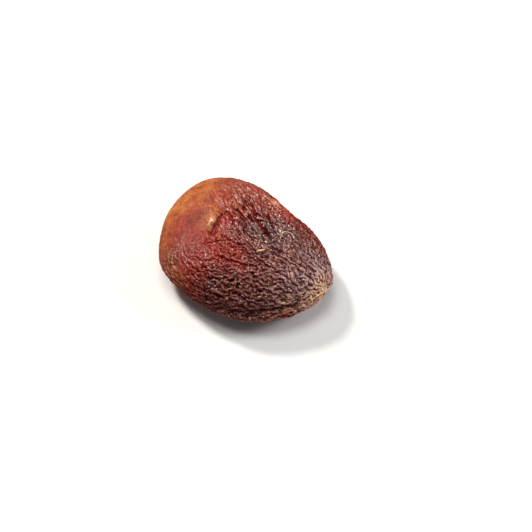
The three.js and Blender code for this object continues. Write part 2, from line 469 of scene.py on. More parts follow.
@dataclass(frozen=True)
class Guides:
    """The guides over the whole skin, blended by how near they are."""

    places: tuple[Guide, ...] = (
        Guide((-18, -3), -48, 0.1, 90, 0.8),
        Guide((-18, 4), -38, 0.08, 90, 0.8),
        Guide((-13, 7), -30, 0.15, 90, 0.85),
        Guide((-11, -6), -32, 0.2, 90, 0.85),
        Guide((-10, -1), -26, 0.2, 90, 0.9),
        Guide((-7.6, -2.4), -26, 0.0, 60, 0.9),
        Guide((-15, -9), -60, 0.24, 50, 0.85),
        Guide((-7, -14), -38, 0.65, 35, 0.9),
        Guide((-8, 9), 0, 0.38, 50, 0.95),
        Guide((-5, 12), -30, 0.42, 40, 0.9),
        Guide((-3, 4), -33, 1.5, 8, 1.25),
        Guide((0, 6.5), -32, 1.6, 4, 1.35),
        Guide((5, 3), -20, 1.4, 14, 1.15),
        Guide((-2, -4.5), -18, 0.7, 60, 1.0),
        Guide((-1, -9), -3, 0.8, 80, 1.05, 0.3),
        Guide((4, -5), 5, 1.1, 25, 1.0),
        Guide((4, -9.5), 13, 1.2, 55, 1.1, 0.5),
        Guide((2, -14), 28, 1.2, 60, 1.3, 0.9),
        Guide((9.5, -11), 37, 1.75, 55, 1.15, 0.9),
        Guide((15, -5.5), 10, 1.45, 45, 0.88, 0.8),
        Guide((11.5, -1.5), -14, 1.0, 70, 0.9, 0.4),
        Guide((11, 5.5), 6, 0.7, 65, 0.85, 0.3),
        Guide((17, 2), -42, 1.15, 50, 0.8, 0.7),
        Guide((20, -3), 55, 1.5, 50, 0.75, 1.0),
        Guide((0.5, 12), -20, 0.95, 25, 0.95),
        Guide((8, 11), -4, 0.6, 55, 0.85),
        Guide((14, -11), 38, 0.6, 25, 0.85),
        Guide((-13, -6), -35, 0.35, 50, 0.95, 0.0, True),
        Guide((-2, -15.6), 0, 0.3, 30, 0.9, 0.0, True),
        Guide((7.5, -14.6), 32, 0.2, 25, 0.9, 0.0, True),
        Guide((14, -10.8), 42, 0.3, 25, 0.9, 0.3, True),
        Guide((-9, 9), -20, 0.6, 40, 1.1, 0.2, True),
        Guide((0, 12), -5, 0.8, 35, 1.15, 0.4, True),
        Guide((4, -9), 20, 1.0, 35, 1.15, 0.5, True),
        Guide((13, 4), -12, 1.0, 35, 1.0, 0.6, True),
        Guide((14, -6), 25, 1.0, 35, 1.0, 0.6, True),
    )
    reach: float = 4.2

    def blend(self, points: Array, body: Body) -> dict[str, Array]:
        """Blends the guides at points.

        Args:
            points: The places, one a row.
            body: The smooth body.

        Returns:
            The level flow vector, strength, stray, pitch and lace at each point.
        """
        away = np.stack([np.linalg.norm(points - body.over(*g.at, g.under), axis=1) for g in self.places])
        weights = np.exp(-np.square(away / self.reach) / 2) + 1e-9
        weights /= weights.sum(axis=0)
        flows = np.stack([heading_vector(g.heading) for g in self.places])
        return {
            "flow": weights.T @ flows,
            "strength": weights.T @ np.array([g.strength for g in self.places]),
            "stray": weights.T @ np.array([g.stray for g in self.places]),
            "pitch": weights.T @ np.array([g.pitch for g in self.places]),
            "lace": weights.T @ np.array([g.lace for g in self.places]),
        }


@dataclass
class WrinkleField:
    """Short patches of waves laid along the guides and set in step, whose sum gives the wrinkles.

    The sum's phase says ridge or valley at a point, and its size says how clear the wrinkle is there.
    """

    body: Body
    guides: Guides
    seed: int
    pitch_scale: float = 1.0
    pitch_stray: float = 0.25
    extra_stray: float = 12.0
    along: float = 1.1
    across: float = 0.7
    spacing: float = 0.95
    own_pull: float = 0.4
    rounds: int = 5
    middles: Array = field(init=False)
    flows: Array = field(init=False)
    waves: Array = field(init=False)
    spread: Array = field(init=False)
    phases: Array = field(init=False)

    SKIN_AREA = 3000.0
    MEAN_PITCH = 1.05
    CUT_OFF = 2.6

    def __post_init__(self) -> None:
        """Scatters the patches over the body and sets them in step."""
        random = np.random.default_rng(self.seed)
        count = int(self.SKIN_AREA / (self.spacing * self.pitch_scale * self.MEAN_PITCH) ** 2)
        self.middles = self.body.toward(spiral(count, random))
        normals = self.body.leaning(self.middles)
        blend = self.guides.blend(self.middles, self.body)
        turn = np.radians((blend["stray"] + self.extra_stray) * bell(count, random))
        self.flows = turned(laid_on(blend["flow"], normals), normals, turn)
        self.spread = blend["pitch"] * self.pitch_scale
        pitch = self.spread * np.exp(self.pitch_stray * random.uniform(-1.5, 1.5, count))
        self.waves = np.cross(normals, self.flows) * (2 * math.pi / pitch)[:, None]
        self.phases = random.random(count) * 2 * math.pi
        self._set_in_step()

    def _reach(self, patch: int) -> float:
        """Returns how far a patch still counts."""
        return self.CUT_OFF * self.along * self.spread[patch]

    def _wave(self, away: Array, squared: Array, patch: int) -> Array:
        """Works out one patch's wave, without its own phase.

        Args:
            away: The vectors from the patch's middle to the points.
            squared: Their lengths, squared.
            patch: The patch's number.

        Returns:
            The wave at each point, as a complex number.
        """
        along = away @ self.flows[patch]
        size = 2 * self.spread[patch] ** 2
        weight = np.exp(-(along**2) / (size * self.along**2) - (squared - along**2) / (size * self.across**2))
        return weight * np.exp(1j * (away @ self.waves[patch]))

    def _set_in_step(self) -> None:
        """Turns each patch's phase towards what its neighbours' waves have at its middle, several times."""
        links = []
        for patch in range(len(self.middles)):
            away = self.middles - self.middles[patch]
            squared = np.einsum("ij,ij->i", away, away)
            near = np.flatnonzero(squared < self._reach(patch) ** 2)
            near = near[near != patch]
            links.append((near, self._wave(away[near], squared[near], patch)))
        for _ in range(self.rounds):
            own = np.exp(1j * self.phases)
            pull = self.own_pull * own
            for patch, (near, waves) in enumerate(links):
                pull[near] += waves * own[patch]
            self.phases = np.angle(pull)

    def at(self, points: Array) -> tuple[Array, Array]:
        """Sums the patches' waves.

        Args:
            points: The skin's points, one a row.

        Returns:
            The phase and the size of the sum at each point.
        """
        order = np.argsort(points[:, 0])
        ordered = points[order]
        total = np.zeros(len(points), complex)
        for patch, middle in enumerate(self.middles):
            reach = self._reach(patch)
            first, last = np.searchsorted(ordered[:, 0], [middle[0] - reach, middle[0] + reach])
            away = ordered[first:last] - middle
            squared = np.einsum("ij,ij->i", away, away)
            near = np.flatnonzero(squared < reach**2)
            wave = self._wave(away[near], squared[near], patch)
            total[first + near] += wave * np.exp(1j * self.phases[patch])
        summed = np.empty_like(total)
        summed[order] = total
        return np.angle(summed), np.abs(summed)


@dataclass(frozen=True)
class Strokes:
    """Short thin spindles scattered along the guides: each one a furrow that opens and closes again.

    Sizes are shares of the guides' pitch: the spacing of the strokes across the flow, and half of their
    length and width.
    """

    body: Body
    guides: Guides
    seed: int
    spacing: float = 1.0
    half_length: float = 1.5
    half_width: float = 0.26
    sway: float = 0.15
    extra_stray: float = 8.0

    FINEST_PITCH = 0.75
    LOOSENESS = 0.5
    LENGTHS = (0.5, 1.5)
    WIDTHS = (0.7, 1.3)
    DEPTHS = (0.4, 1.0)
    END_POWER = 4
    SIDE_POWER = 1.6
    CUT_OFF = 1.3

    def _scatter(self, random: np.random.Generator) -> tuple[Array, Array]:
        """Spreads the strokes' middles over the body, closer together where the pitch is finer.

        Args:
            random: The source of chance.

        Returns:
            The middles and the outward directions there.
        """
        count = int(WrinkleField.SKIN_AREA / (self.half_length * (self.spacing * self.FINEST_PITCH) ** 2))
        middles = self.body.toward(spiral(count, random, self.LOOSENESS))
        pitch = self.guides.blend(middles, self.body)["pitch"]
        middles = middles[random.random(count) < (self.FINEST_PITCH / pitch) ** 2]
        return middles, self.body.leaning(middles)

    def at(self, points: Array) -> Array:
        """Lays the strokes over points.

        Args:
            points: The skin's points, one a row.

        Returns:
            How deep in a stroke each point is, from 0 to 1.
        """
        random = np.random.default_rng(self.seed)
        middles, normals = self._scatter(random)
        count = len(middles)
        blend = self.guides.blend(middles, self.body)
        turn = np.radians((blend["stray"] + self.extra_stray) * bell(count, random))
        flow = turned(laid_on(blend["flow"], normals), normals, turn)
        sides = np.cross(normals, flow)
        lengths = self.half_length * blend["pitch"] * random.uniform(*self.LENGTHS, count)
        widths = self.half_width * blend["pitch"] * random.uniform(*self.WIDTHS, count)
        depths = random.uniform(*self.DEPTHS, count)
        sways = self.sway * random.uniform(-1.0, 1.0, count)
        order = np.argsort(points[:, 0])
        ordered = points[order]
        deepest = np.zeros(len(points))
        for middle, along_way, side, length, width, depth, sway in zip(
            middles, flow, sides, lengths, widths, depths, sways
        ):
            reach = self.CUT_OFF * length
            first, last = np.searchsorted(ordered[:, 0], [middle[0] - reach, middle[0] + reach])
            away = ordered[first:last] - middle
            near = np.flatnonzero(np.abs(away).max(axis=1) < reach)
            away = away[near]
            along = away @ along_way
            across = away @ side - sway * along**2
            ends = (along / length) ** self.END_POWER
            flanks = np.abs(across / width) ** self.SIDE_POWER
            deepest[first + near] = np.maximum(deepest[first + near], depth * np.exp(-ends - flanks))
        laid = np.empty_like(deepest)
        laid[order] = deepest
        return laid


@dataclass(frozen=True)
class Ripples:
    """Soft seamless noise from -1 to 1: many weak waves in random directions."""

    seed: int
    length: float
    count: int = 28

    LENGTHS = (0.7, 1.5)
    PEAK = 1.8

    def at(self, points: Array) -> Array:
        """Works out the noise.

        Args:
            points: The places, one a row.

        Returns:
            The noise at each place.
        """
        random = np.random.default_rng(self.seed)
        directions = random.normal(size=(self.count, 3))
        directions /= np.linalg.norm(directions, axis=1, keepdims=True)
        lengths = self.length * random.uniform(*self.LENGTHS, self.count)
        turns = points @ (directions * (2 * math.pi / lengths)[:, None]).T
        waves = np.sin(turns + random.random(self.count) * 2 * math.pi)
        return waves.sum(axis=1) / math.sqrt(self.count / 2) / self.PEAK


@dataclass(frozen=True)
class Stain:
    """One soft patch of a colour zone: its middle in plan, its reach and its strength."""

    at: tuple[float, float]
    reach: float
    amount: float
    under: bool = False


STAINS: dict[Zone, tuple[Stain, ...]] = {
    # Orange end: the flesh's own orange, with the glow of light through the thin rim painted into it as
    # colour.
    Zone.PLUMP_AND_GLOW: (
        Stain((-17.5, 3), 4.0, 0.9),
        Stain((-15, 9), 3.8, 0.85),
        Stain((-18, -4), 3.5, 0.55),
        Stain((-11, 14), 3.0, 0.12),
        Stain((-15, -10), 3.5, 0.35),
        Stain((-6, -15.5), 2.0, 0.35),
        Stain((-11.2, -12.5), 2.2, 0.4),
        Stain((-8.4, -14.4), 1.6, 0.35),
        # These three stains lighten the swell beside the slit: its own orange, partly a painted highlight.
        Stain((-8.6, 1.0), 1.8, 0.5),
        Stain((-7.2, -2.0), 1.5, 0.7),
        Stain((-7.6, -2.8), 1.2, 0.45),
        Stain((15.5, -10.8), 1.1, 0.5),
        Stain((0.5, 12.5), 1.8, 0.3),
        Stain((-15, 4), 6.0, 0.5, True),
    ),
    Zone.RUDDY: (
        Stain((-11, 2), 5.0, 0.9),
        Stain((-6, -4), 4.5, 0.8),
        Stain((-10, -8), 5.0, 0.9),
        Stain((-5, 9), 5.0, 0.7),
        Stain((-3, -6), 2.6, 0.5),
        Stain((-4, -11), 4.5, 0.6),
        Stain((4, 13), 4.0, 0.45),
        Stain((-12, -10), 6.0, 0.4, True),
    ),
    Zone.WINE: (
        Stain((1.5, -7.5), 4.2, 0.85),
        Stain((0.5, -12), 3.5, 0.7),
        Stain((5, -9.5), 3.0, 0.4),
        Stain((-5, -11), 3.0, 0.35),
        Stain((-9.5, -6.0), 2.4, 0.6),
    ),
    Zone.ROSE: (
        Stain((-10.5, 11.5), 3.2, 0.8),
        Stain((-6, 9.5), 3.0, 0.6),
        Stain((-4, 12.5), 3.2, 0.6),
        Stain((-4.5, 7.5), 2.0, 0.6),
        Stain((-4.8, 3.2), 1.6, 0.5),
    ),
    Zone.DUSK: (
        Stain((4.8, 2.6), 2.8, 0.9),
        Stain((1, -1), 3.5, 0.45),
        Stain((9, 3), 4.0, 0.4),
        Stain((9.5, 7), 2.5, 0.4),
        # This small stain is a painted sheen spot: a lilac gloss on the skin.
        Stain((-2.7, -8.4), 0.8, 0.6),
        Stain((16.5, 4.3), 2.5, 0.5),
        Stain((6, -6), 3.0, 0.4),
        Stain((9, -15), 3.2, 0.5, True),
    ),
    # Dark maroon zone of the near flank and belly: the fruit's own darker colour there, deepened with painted
    # shade where the flank turns from the light and the floor's bounce would lift it. The two stains under
    # the fruit paint shade on the belly.
    Zone.MAROON_AND_SHADE: (
        Stain((3, -14.5), 3.4, 1.0),
        Stain((8, -13), 3.6, 1.0),
        Stain((11, -10.5), 3.2, 0.8),
        Stain((8.6, -11.6), 1.8, 0.7),
        Stain((16.8, -5.0), 1.8, 0.6),
        Stain((6, -8), 8.0, 0.8, True),
        Stain((12, 5), 6.0, 0.6, True),
    ),
    Zone.BLOOM: (
        Stain((21, 0.5), 3.0, 1.0),
        Stain((18.5, -4), 2.6, 0.8),
        Stain((19.5, 4), 3.0, 0.7),
        Stain((14, -9), 2.6, 0.55),
        Stain((15, -1.5), 3.5, 0.4),
        Stain((-10, -13), 3.0, 0.3),
    ),
    # Greyish pink zone: the skin's own dusty grey, with the soft light's sheen on its plateaus partly painted
    # in.
    Zone.ASHEN: (
        Stain((2, 3), 3.6, 0.7),
        Stain((8, -2), 4.5, 0.8),
        Stain((12, 5), 4.5, 0.6),
        Stain((1, 11), 3.0, 0.4),
        Stain((14, -5), 4.0, 0.6),
        Stain((-5.5, -9.5), 1.6, 0.5),
        Stain((-9.5, -11.0), 1.8, 0.35),
        Stain((8, 0), 9.0, 0.3, True),
        Stain((13, -12.5), 3.0, 0.45, True),
    ),
    # Pale zone: the first three stains paint the highlight on the swell beside the slit. The rest are pale
    # dry flesh and bloom, lightened in part as a painted highlight where the tip and a spot on the crown
    # catch the light.
    Zone.CREAM_AND_HIGHLIGHT: (
        Stain((-7.2, -1.1), 0.35, 0.8),
        Stain((-6.9, -1.9), 0.42, 1.0),
        Stain((-6.6, -2.8), 0.38, 0.9),
        Stain((20.3, 1.8), 1.6, 0.5),
        Stain((0.8, 12.3), 0.65, 0.6),
        Stain((21.0, 0.5), 1.6, 0.7),
        Stain((20.2, -3.0), 1.5, 0.6),
        Stain((17.5, -7.0), 1.2, 0.3),
    ),
}


def zone_amount(zone: Zone, points: Array, body: Body) -> Array:
    """Adds up the stains of a colour zone.

    Args:
        zone: The zone.
        points: The places, one a row.
        body: The smooth body.

    Returns:
        How much of the zone there is at each place, from 0 to 1.
    """
    total = np.zeros(len(points))
    for stain in STAINS[zone]:
        away = np.linalg.norm(points - body.over(*stain.at, stain.under), axis=1)
        total += stain.amount * np.exp(-np.square(away / stain.reach) / 2)
    return np.clip(total, 0.0, 1.0)


@dataclass(frozen=True)
class Icosphere:
    """A ball of triangles: an icosahedron whose edges are cut into equal stretches."""

    cuts: int

    def mesh(self) -> tuple[Array, Array]:
        """Makes the ball.

        Returns:
            The unit directions of its points, and the corners of its triangles as rows of indices.
        """
        golden = (1 + math.sqrt(5)) / 2
        level = [(-1, golden, 0), (1, golden, 0)]
        half = np.array(level + [(z, x, y) for x, y, z in level] + [(y, z, x) for x, y, z in level])
        corners = np.vstack([half, -half])
        gaps = np.linalg.norm(corners[:, None] - corners, axis=2)
        joined = np.abs(gaps - 2.0) < 1e-6
        faces = [(a, b, c) for a in range(12) for b in range(a + 1, 12) for c in range(b + 1, 12)
                 if joined[a, b] and joined[b, c] and joined[a, c]]
        steps = [(i, j) for i in range(self.cuts + 1) for j in range(self.cuts + 1 - i)]
        place = {step: number for number, step in enumerate(steps)}
        grid = np.array(steps, float)
        cells = [(place[i, j], place[i + 1, j], place[i, j + 1]) for i, j in steps if i + j < self.cuts]
        cells += [
            (place[i + 1, j], place[i + 1, j + 1], place[i, j + 1]) for i, j in steps if i + j < self.cuts - 1
        ]
        pattern = np.array(cells)
        points, triangles = [], []
        for number, (a, b, c) in enumerate(faces):
            first, second, third = corners[a], corners[b], corners[c]
            if np.dot(np.cross(second - first, third - first), first) < 0:
                second, third = third, second
            weights = grid / self.cuts
            rest = 1.0 - weights.sum(axis=1)
            points.append(rest[:, None] * first + weights[:, :1] * second + weights[:, 1:] * third)
            triangles.append(pattern + number * len(steps))
        rounded = np.round(np.vstack(points), 6)
        _, kept, merged = np.unique(rounded, axis=0, return_index=True, return_inverse=True)
        directions = np.vstack(points)[kept]
        directions /= np.linalg.norm(directions, axis=1, keepdims=True)
        return directions, merged.reshape(-1)[np.vstack(triangles)]


def vertex_normals(points: Array, triangles: Array) -> Array:
    """Works out the outward unit normals of a closed mesh.

    Args:
        points: The mesh's points.
        triangles: Its triangles.

    Returns:
        The normal at each point.
    """
    first, second, third = (points[triangles[:, corner]] for corner in range(3))
    faces = np.cross(second - first, third - first)
    normals = np.zeros_like(points)
    for corner in range(3):
        for axis in range(3):
            normals[:, axis] += np.bincount(triangles[:, corner], faces[:, axis], len(points))
    return normals / np.linalg.norm(normals, axis=1, keepdims=True)


def new_object(name: str, points: Array, triangles: Array, finish: bpy.types.Material) -> bpy.types.Object:
    """Makes an object, at the origin, in metres.

    Args:
        name: The object's name.
        points: Its points in millimetres, one a row.
        triangles: Its faces, as rows of indices.
        finish: Its material.

    Returns:
        The object.
    """
    mesh = bpy.data.meshes.new(name)
    mesh.from_pydata((points * MM).tolist(), [], triangles.tolist())
    mesh.validate()
    mesh.shade_smooth()
    mesh.materials.append(finish)
    made = bpy.data.objects.new(name, mesh)
    bpy.context.collection.objects.link(made)
    return made


def crowd_upwards(directions: Array, amount: float) -> Array:
    """Draws directions towards the crown, so that the side that shows most has the finest mesh.

    Args:
        directions: The unit directions, evenly spread.
        amount: From 0 for no change towards 1 for all at the top.

    Returns:
        The unit directions, closer together towards the top.
    """
    height = (directions[:, 2] + amount) / (1 + amount * directions[:, 2])
    ring = np.sqrt((1 - height**2) / np.maximum(1 - directions[:, 2] ** 2, 1e-12))
    return np.column_stack([directions[:, 0] * ring, directions[:, 1] * ring, height])


def standing_out(points: Array, triangles: Array, rounds: int) -> Array:
    """Measures how far each point stands out from the mesh round it.

    Args:
        points: The mesh's points.
        triangles: Its triangles.
        rounds: How many times the mesh is smoothed to compare with. More rounds look at larger forms.

    Returns:
        The distance out of the smoothed mesh, below zero in a valley.
    """
    starts = triangles[:, [0, 1, 2]].ravel()
    ends = triangles[:, [1, 2, 0]].ravel()
    joined = np.bincount(starts, minlength=len(points))
    smooth = points
    for _ in range(rounds):
        sums = [np.bincount(starts, smooth[ends, axis], len(points)) for axis in range(3)]
        smooth = 0.5 * smooth + 0.5 * np.column_stack(sums) / joined[:, None]
    return np.einsum("ij,ij->i", points - smooth, vertex_normals(smooth, triangles))


@dataclass
class Skin:
    """The fruit's skin: the smooth body with its lumps, hollows, creases, lip, stem end and wrinkles.

    The depths are those of each size of wrinkle where the guides' strength and the pitch are 1. The bend and
    the shiver move each point a little before the wrinkles are laid, so that none runs straight. The shares
    say how much the crests, the swells and the cuts count in the relief mark, from 0 in a valley to 1 on a
    ridge. The skin's colours follow this mark, so it paints shade into the valleys and cuts and a sheen onto
    the crests and swells. Dust falls on the ridges of the dry zones, and not near the floor.
    """

    body: Body = Body()
    guides: Guides = Guides()
    cuts: int = 99
    quick_cuts: int = 70
    lumps: tuple[Lump, ...] = (
        Lump(15, 23, 0.12, 40),
        Lump(75, 17, 0.1, 200),
        Lump(140, 13, 0.1, 310),
    )
    hollows: tuple[Hollow, ...] = (
        Hollow((-7, -4), 100, 11, 3.2, 0.75),
        Hollow((5, 3), -25, 4.2, 3.4, 0.9),
        Hollow((-7.6, -0.6), 95, 3, 1.2, -0.35),
        Hollow((-6.9, -1.9), 78, 1.2, 0.5, -0.4),
        Hollow((-8.5, -13), 70, 2.6, 1.8, 0.3),
        Hollow((-7, 7), 25, 6, 2.6, 0.8, True),
        Hollow((10, -6), 30, 6, 2.2, 0.8, True),
    )
    creases: tuple[Crease, ...] = (
        Crease(((-6.1, 1.2), (-5.9, -0.6), (-5.6, -2.2), (-5.2, -3.9)), 0.8, 0.35, 0.26, 0.55, 2.4, 0.8, 1.0),
        Crease(
            ((-5.5, -6.3), (-4.9, -7.1), (-3.7, -7.0), (-2.8, -6.0), (-2.5, -4.9)),
            0.8, 0.2, 0.3, 0.35, 1.0, 0.6, 0.9,
        ),
        Crease(((-4.6, 7.8), (-2.2, 6.6), (0.3, 5.6), (3, 4), (5, 3.1)), 1.0, 0.4, 0.34, 1.0, 1.5, 0.7, 0.55),
        Crease(((-0.6, 8.9), (2.4, 7.4), (4.9, 5.5)), 0.9, 0.3, 0.3, 0.8, 1.0, 0.7, 0.35),
        Crease(((-3.4, 6.1), (-1.2, 4.7), (0.9, 3.5)), 0.7, 0.2, 0.32, 0.9, 1.2, 0.7, 0.5),
        Crease(((4.3, 3.3), (5.5, 3.8), (6.6, 4.1)), 0.7, 0.15, 0.26, 0.5, 1.0, 0.6, 0.4),
        Crease(((-5.6, 2.1), (-4.3, 1.7), (-2.6, 0.7)), 0.6, 0.15, 0.3, 0.7, 1.0, 0.7, 0.5),
        Crease(((-3.6, 4.0), (-2.0, 3.1), (-0.2, 2.0)), 0.6, 0.15, 0.3, 0.7, 1.0, 0.7, 0.45),
        Crease(((0.2, -0.9), (2.0, -1.3)), 0.5, 0.1, 0.25, 0.5, 1.0, 0.7, 0.5),
        Crease(((1.3, 0.4), (3.7, -0.4)), 0.6, 0.1, 0.26, 0.55, 1.0, 0.7, 0.5),
        Crease(((4.1, 2.3), (5.8, 1.5), (7.3, 1.0)), 0.7, 0.2, 0.28, 0.6, 1.0, 0.6, 0.3),
        Crease(((-2.4, -4.9), (0.4, -5.0), (3.4, -4.3), (6.5, -3.8)), 0.9, 0.25, 0.28, 0.6, 1.0, 0.5, 0.3),
        Crease(((-0.8, -4.0), (1.8, -3.7)), 0.7, 0.1, 0.25, 0.5, 1.0, 0.7, 0.4),
        Crease(((6.6, -3.5), (8.7, -3.9)), 0.6, 0.1, 0.25, 0.5, 1.0, 0.7, 0.3),
        Crease(((8.2, -0.2), (10.3, 0.6)), 0.6, 0.1, 0.25, 0.45, 1.0, 0.7, 0.2),
        Crease(((5.5, -4.9), (7.5, -4.6)), 0.6, 0.1, 0.25, 0.45, 1.0, 0.7, 0.3),
        Crease(((8.8, -1.4), (10.7, -0.6)), 0.6, 0.1, 0.25, 0.45, 1.0, 0.7, 0.2),
        Crease(((1, -8.6), (3.4, -7.4), (6.4, -7)), 0.7, 0.1, 0.28, 0.5, 1.0, 0.6, 0.5),
        Crease(((-3, 14.2), (4, 13.4), (11, 10.2)), 1.2, 0.2, 0.3, 0.2),
    )
    lip: Lip = Lip()
    stem_end: StemEnd = StemEnd()
    upward: float = 0.25
    fold_depth: float = 0.24
    wave_depth: float = 0.32
    furrow_depth: float = 0.66
    nick_depth: float = 0.2
    lace_depth: float = 0.52
    thread_depth: float = 0.09
    usual_pitch: float = 1.1
    least_strength: float = 0.04
    patchiness: float = 0.4
    patch_size: float = 4.5
    clearest: float = 1.9
    calm_stray: float = 5.0
    jumbled_stray: float = 45.0
    bend: float = 0.25
    bend_size: float = 3.4
    shiver: float = 0.09
    shiver_size: float = 1.1
    flat_fade: float = 0.5
    crest_rounds: int = 14
    crest_scale: float = 0.12
    crest_share: float = 0.38
    swell_rounds: int = 60
    swell_scale: float = 0.25
    swell_share: float = 0.18
    cut_share: float = 0.35
    smooth_in_cuts: float = 0.7
    wet_shaded_cuts: tuple[float, float] = (0.2, 0.7)
    dusty_zones: tuple[tuple[Zone, float], ...] = (
        (Zone.BLOOM, 1.0),
        (Zone.CREAM_AND_HIGHLIGHT, 0.8),
        (Zone.ASHEN, 0.4),
        (Zone.DUSK, 0.25),
    )
    dusty_relief: tuple[float, float] = (0.5, 0.8)
    least_dust: float = 0.04
    clean_below: float = 2.0
    dusty_above: float = 4.0
    points: Array = field(init=False)
    triangles: Array = field(init=False)
    marks: dict[str, Array] = field(init=False)

    def _broad_relief(self, points: Array, bent: Array) -> tuple[Array, Array, Array]:
        """Adds up everything but the wrinkles.

        Args:
            points: The smooth body's points.
            bent: The same points bent a little, for the creases.

        Returns:
            How far each point moves out, and from 0 to 1 how deep in a cut and in a wet gash it is. The gash
            is painted a wet red darkened with painted shade.
        """
        height = self.stem_end.relief(points, self.body)
        cuts, gash = np.zeros(len(points)), np.zeros(len(points))
        for lump in self.lumps:
            height += lump.relief(points)
        for hollow in self.hollows:
            height += hollow.relief(points, self.body)
        for crease in (*self.creases, self.lip):
            moved, cut = crease.relief(bent, self.body)
            height += moved
            cuts = np.maximum(cuts, cut)
            gash = np.maximum(gash, crease.stain * cut)
        return height, cuts, gash

    def _wrinkles(self, points: Array) -> Array:
        """Works out the wrinkles in three sizes: folds, wrinkles and threads.

        Args:
            points: The smooth body's points, already bent a little so that no ridge runs straight.

        Returns:
            How far they move each point out.
        """
        blend = self.guides.blend(points, self.body)
        lace = blend["lace"]
        patches = 1.0 + self.patchiness * Ripples(41, self.patch_size).at(points)
        strength = np.maximum(blend["strength"], self.least_strength) * patches
        jumble = smooth_step(blend["stray"], self.calm_stray, self.jumbled_stray)

        def waves(power: float, thin: Array, **settings: float) -> Array:
            """Works out one size of wrinkle.

            Args:
                power: How sharp the thin side is: less is sharper.
                thin: From 0 for thin valleys to 1 for thin ridges, at each point.
                **settings: What the wrinkle field is given.

            Returns:
                The wrinkles' height at each point, about -1 to 1.
            """
            phase, size = WrinkleField(self.body, self.guides, **settings).at(points)
            thin_valleys = np.abs(np.cos(phase / 2)) ** power - 0.66
            thin_ridges = 0.34 - np.abs(np.sin(phase / 2)) ** power
            clear = np.minimum(size / size.mean(), self.clearest)
            return clear * ((1 - thin) * thin_valleys + thin * thin_ridges)

        def strokes(**settings: float) -> Array:
            """Returns how deep in a stroke each point is."""
            return Strokes(self.body, self.guides, **settings).at(points)

        height = self.wave_depth * waves(0.8, lace, seed=12, pitch_stray=0.3, extra_stray=8.0, rounds=2)
        height += self.fold_depth * waves(1.0, 0 * lace, seed=15, pitch_scale=1.8, extra_stray=10.0, rounds=1)
        furrows = strokes(seed=71, half_length=2.0, half_width=0.2, extra_stray=4.0)
        height -= self.furrow_depth * (1.2 - 0.3 * jumble) * (1 - lace) * furrows
        nicks = strokes(seed=72, spacing=0.62, half_width=0.2, half_length=1.1, extra_stray=15.0)
        height -= self.nick_depth * (0.2 + 0.8 * jumble) * nicks
        threads_of_lace = strokes(seed=73, spacing=1.1, half_width=0.22, half_length=1.9, extra_stray=15.0)
        height += self.lace_depth * lace * threads_of_lace
        height *= strength * blend["pitch"] / self.usual_pitch
        threads = waves(0.9, 0.5 + 0.5 * lace, seed=14, pitch_scale=0.5, extra_stray=35.0, rounds=0)
        shown = (0.3 + 0.7 * jumble) * (0.15 + 0.85 * np.clip(strength, 0, 1))
        return height + self.thread_depth * shown * threads

    def shape(self, low: Vector, high: Vector) -> None:
        """Works out the skin's points and marks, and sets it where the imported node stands.

        Args:
            low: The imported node's lowest corner, in metres.
            high: Its highest corner, in metres.
        """
        directions, self.triangles = Icosphere(self.cuts).mesh()
        directions = crowd_upwards(directions, self.upward)
        points = self.body.toward(directions)
        bend = np.stack([Ripples(31 + axis, self.bend_size).at(points) for axis in range(3)], axis=1)
        shiver = np.stack([Ripples(51 + axis, self.shiver_size).at(points) for axis in range(3)], axis=1)
        bent = points + self.bend * bend + self.shiver * shiver
        fade = smooth_step(points[:, 2], 0.0, self.flat_fade)
        broad, cuts, gash = self._broad_relief(points, bent)
        dented = points + vertex_normals(points, self.triangles) * (fade * broad)[:, None]
        fine = fade * (1.0 - self.smooth_in_cuts * cuts) * self._wrinkles(bent)
        moved = dented + vertex_normals(dented, self.triangles) * fine[:, None]
        moved[:, 2] = np.maximum(moved[:, 2], 0.0)
        self._mark(points, moved, cuts, gash)
        middle = (moved.min(axis=0) + moved.max(axis=0)) / 2
        home = (np.array(low) + np.array(high)) / 2 / MM
        moved += [home[0] - middle[0], home[1] - middle[1], low.z / MM - moved[:, 2].min()]
        self.points = moved

    def _mark(self, points: Array, moved: Array, cuts: Array, gash: Array) -> None:
        """Works out what the finish needs to know at each point.

        Args:
            points: The smooth body's points.
            moved: The finished skin's points.
            cuts: How deep in a cut each point is, from 0 to 1.
            gash: How deep in a wet gash each point is, from 0 to 1.
        """
        blend = self.guides.blend(points, self.body)
        marks = {zone.value: zone_amount(zone, points, self.body) for zone in Zone}
        crest = np.tanh(standing_out(moved, self.triangles, self.crest_rounds) / self.crest_scale)
        swell = np.tanh(standing_out(moved, self.triangles, self.swell_rounds) / self.swell_scale)
        # The colours follow this mark: it paints shade into valleys and cuts and a sheen onto crests and
        # swells.
        relief = 0.5 + self.crest_share * crest + self.swell_share * swell - self.cut_share * cuts
        marks["relief"] = np.clip(relief, 0.0, 1.0)
        # The gash mark lays the flesh's wet red, darkened with painted shade, into the deepest cuts.
        marks["gash"] = smooth_step(gash, *self.wet_shaded_cuts)
        marks["depth"] = np.clip(blend["strength"] / 2, 0.0, 1.0)
        marks["flow"] = laid_on(blend["flow"], vertex_normals(points, self.triangles))
        dry = sum(share * marks[zone.value] for zone, share in self.dusty_zones)
        dusty = (self.least_dust + np.clip(dry, 0.0, 1.0)) * smooth_step(marks["relief"], *self.dusty_relief)
        marks["dust"] = dusty * smooth_step(points[:, 2], self.clean_below, self.dusty_above)
        self.marks = marks

    def top(self, x: float, y: float) -> Array:
        """Returns the point of the finished skin's crown that is nearest to a plan point."""
        crown = self.points[self.points[:, 2] > self.body.rim_height]
        return np.array([x, y, crown[np.argmin(np.hypot(crown[:, 0] - x, crown[:, 1] - y)), 2]])

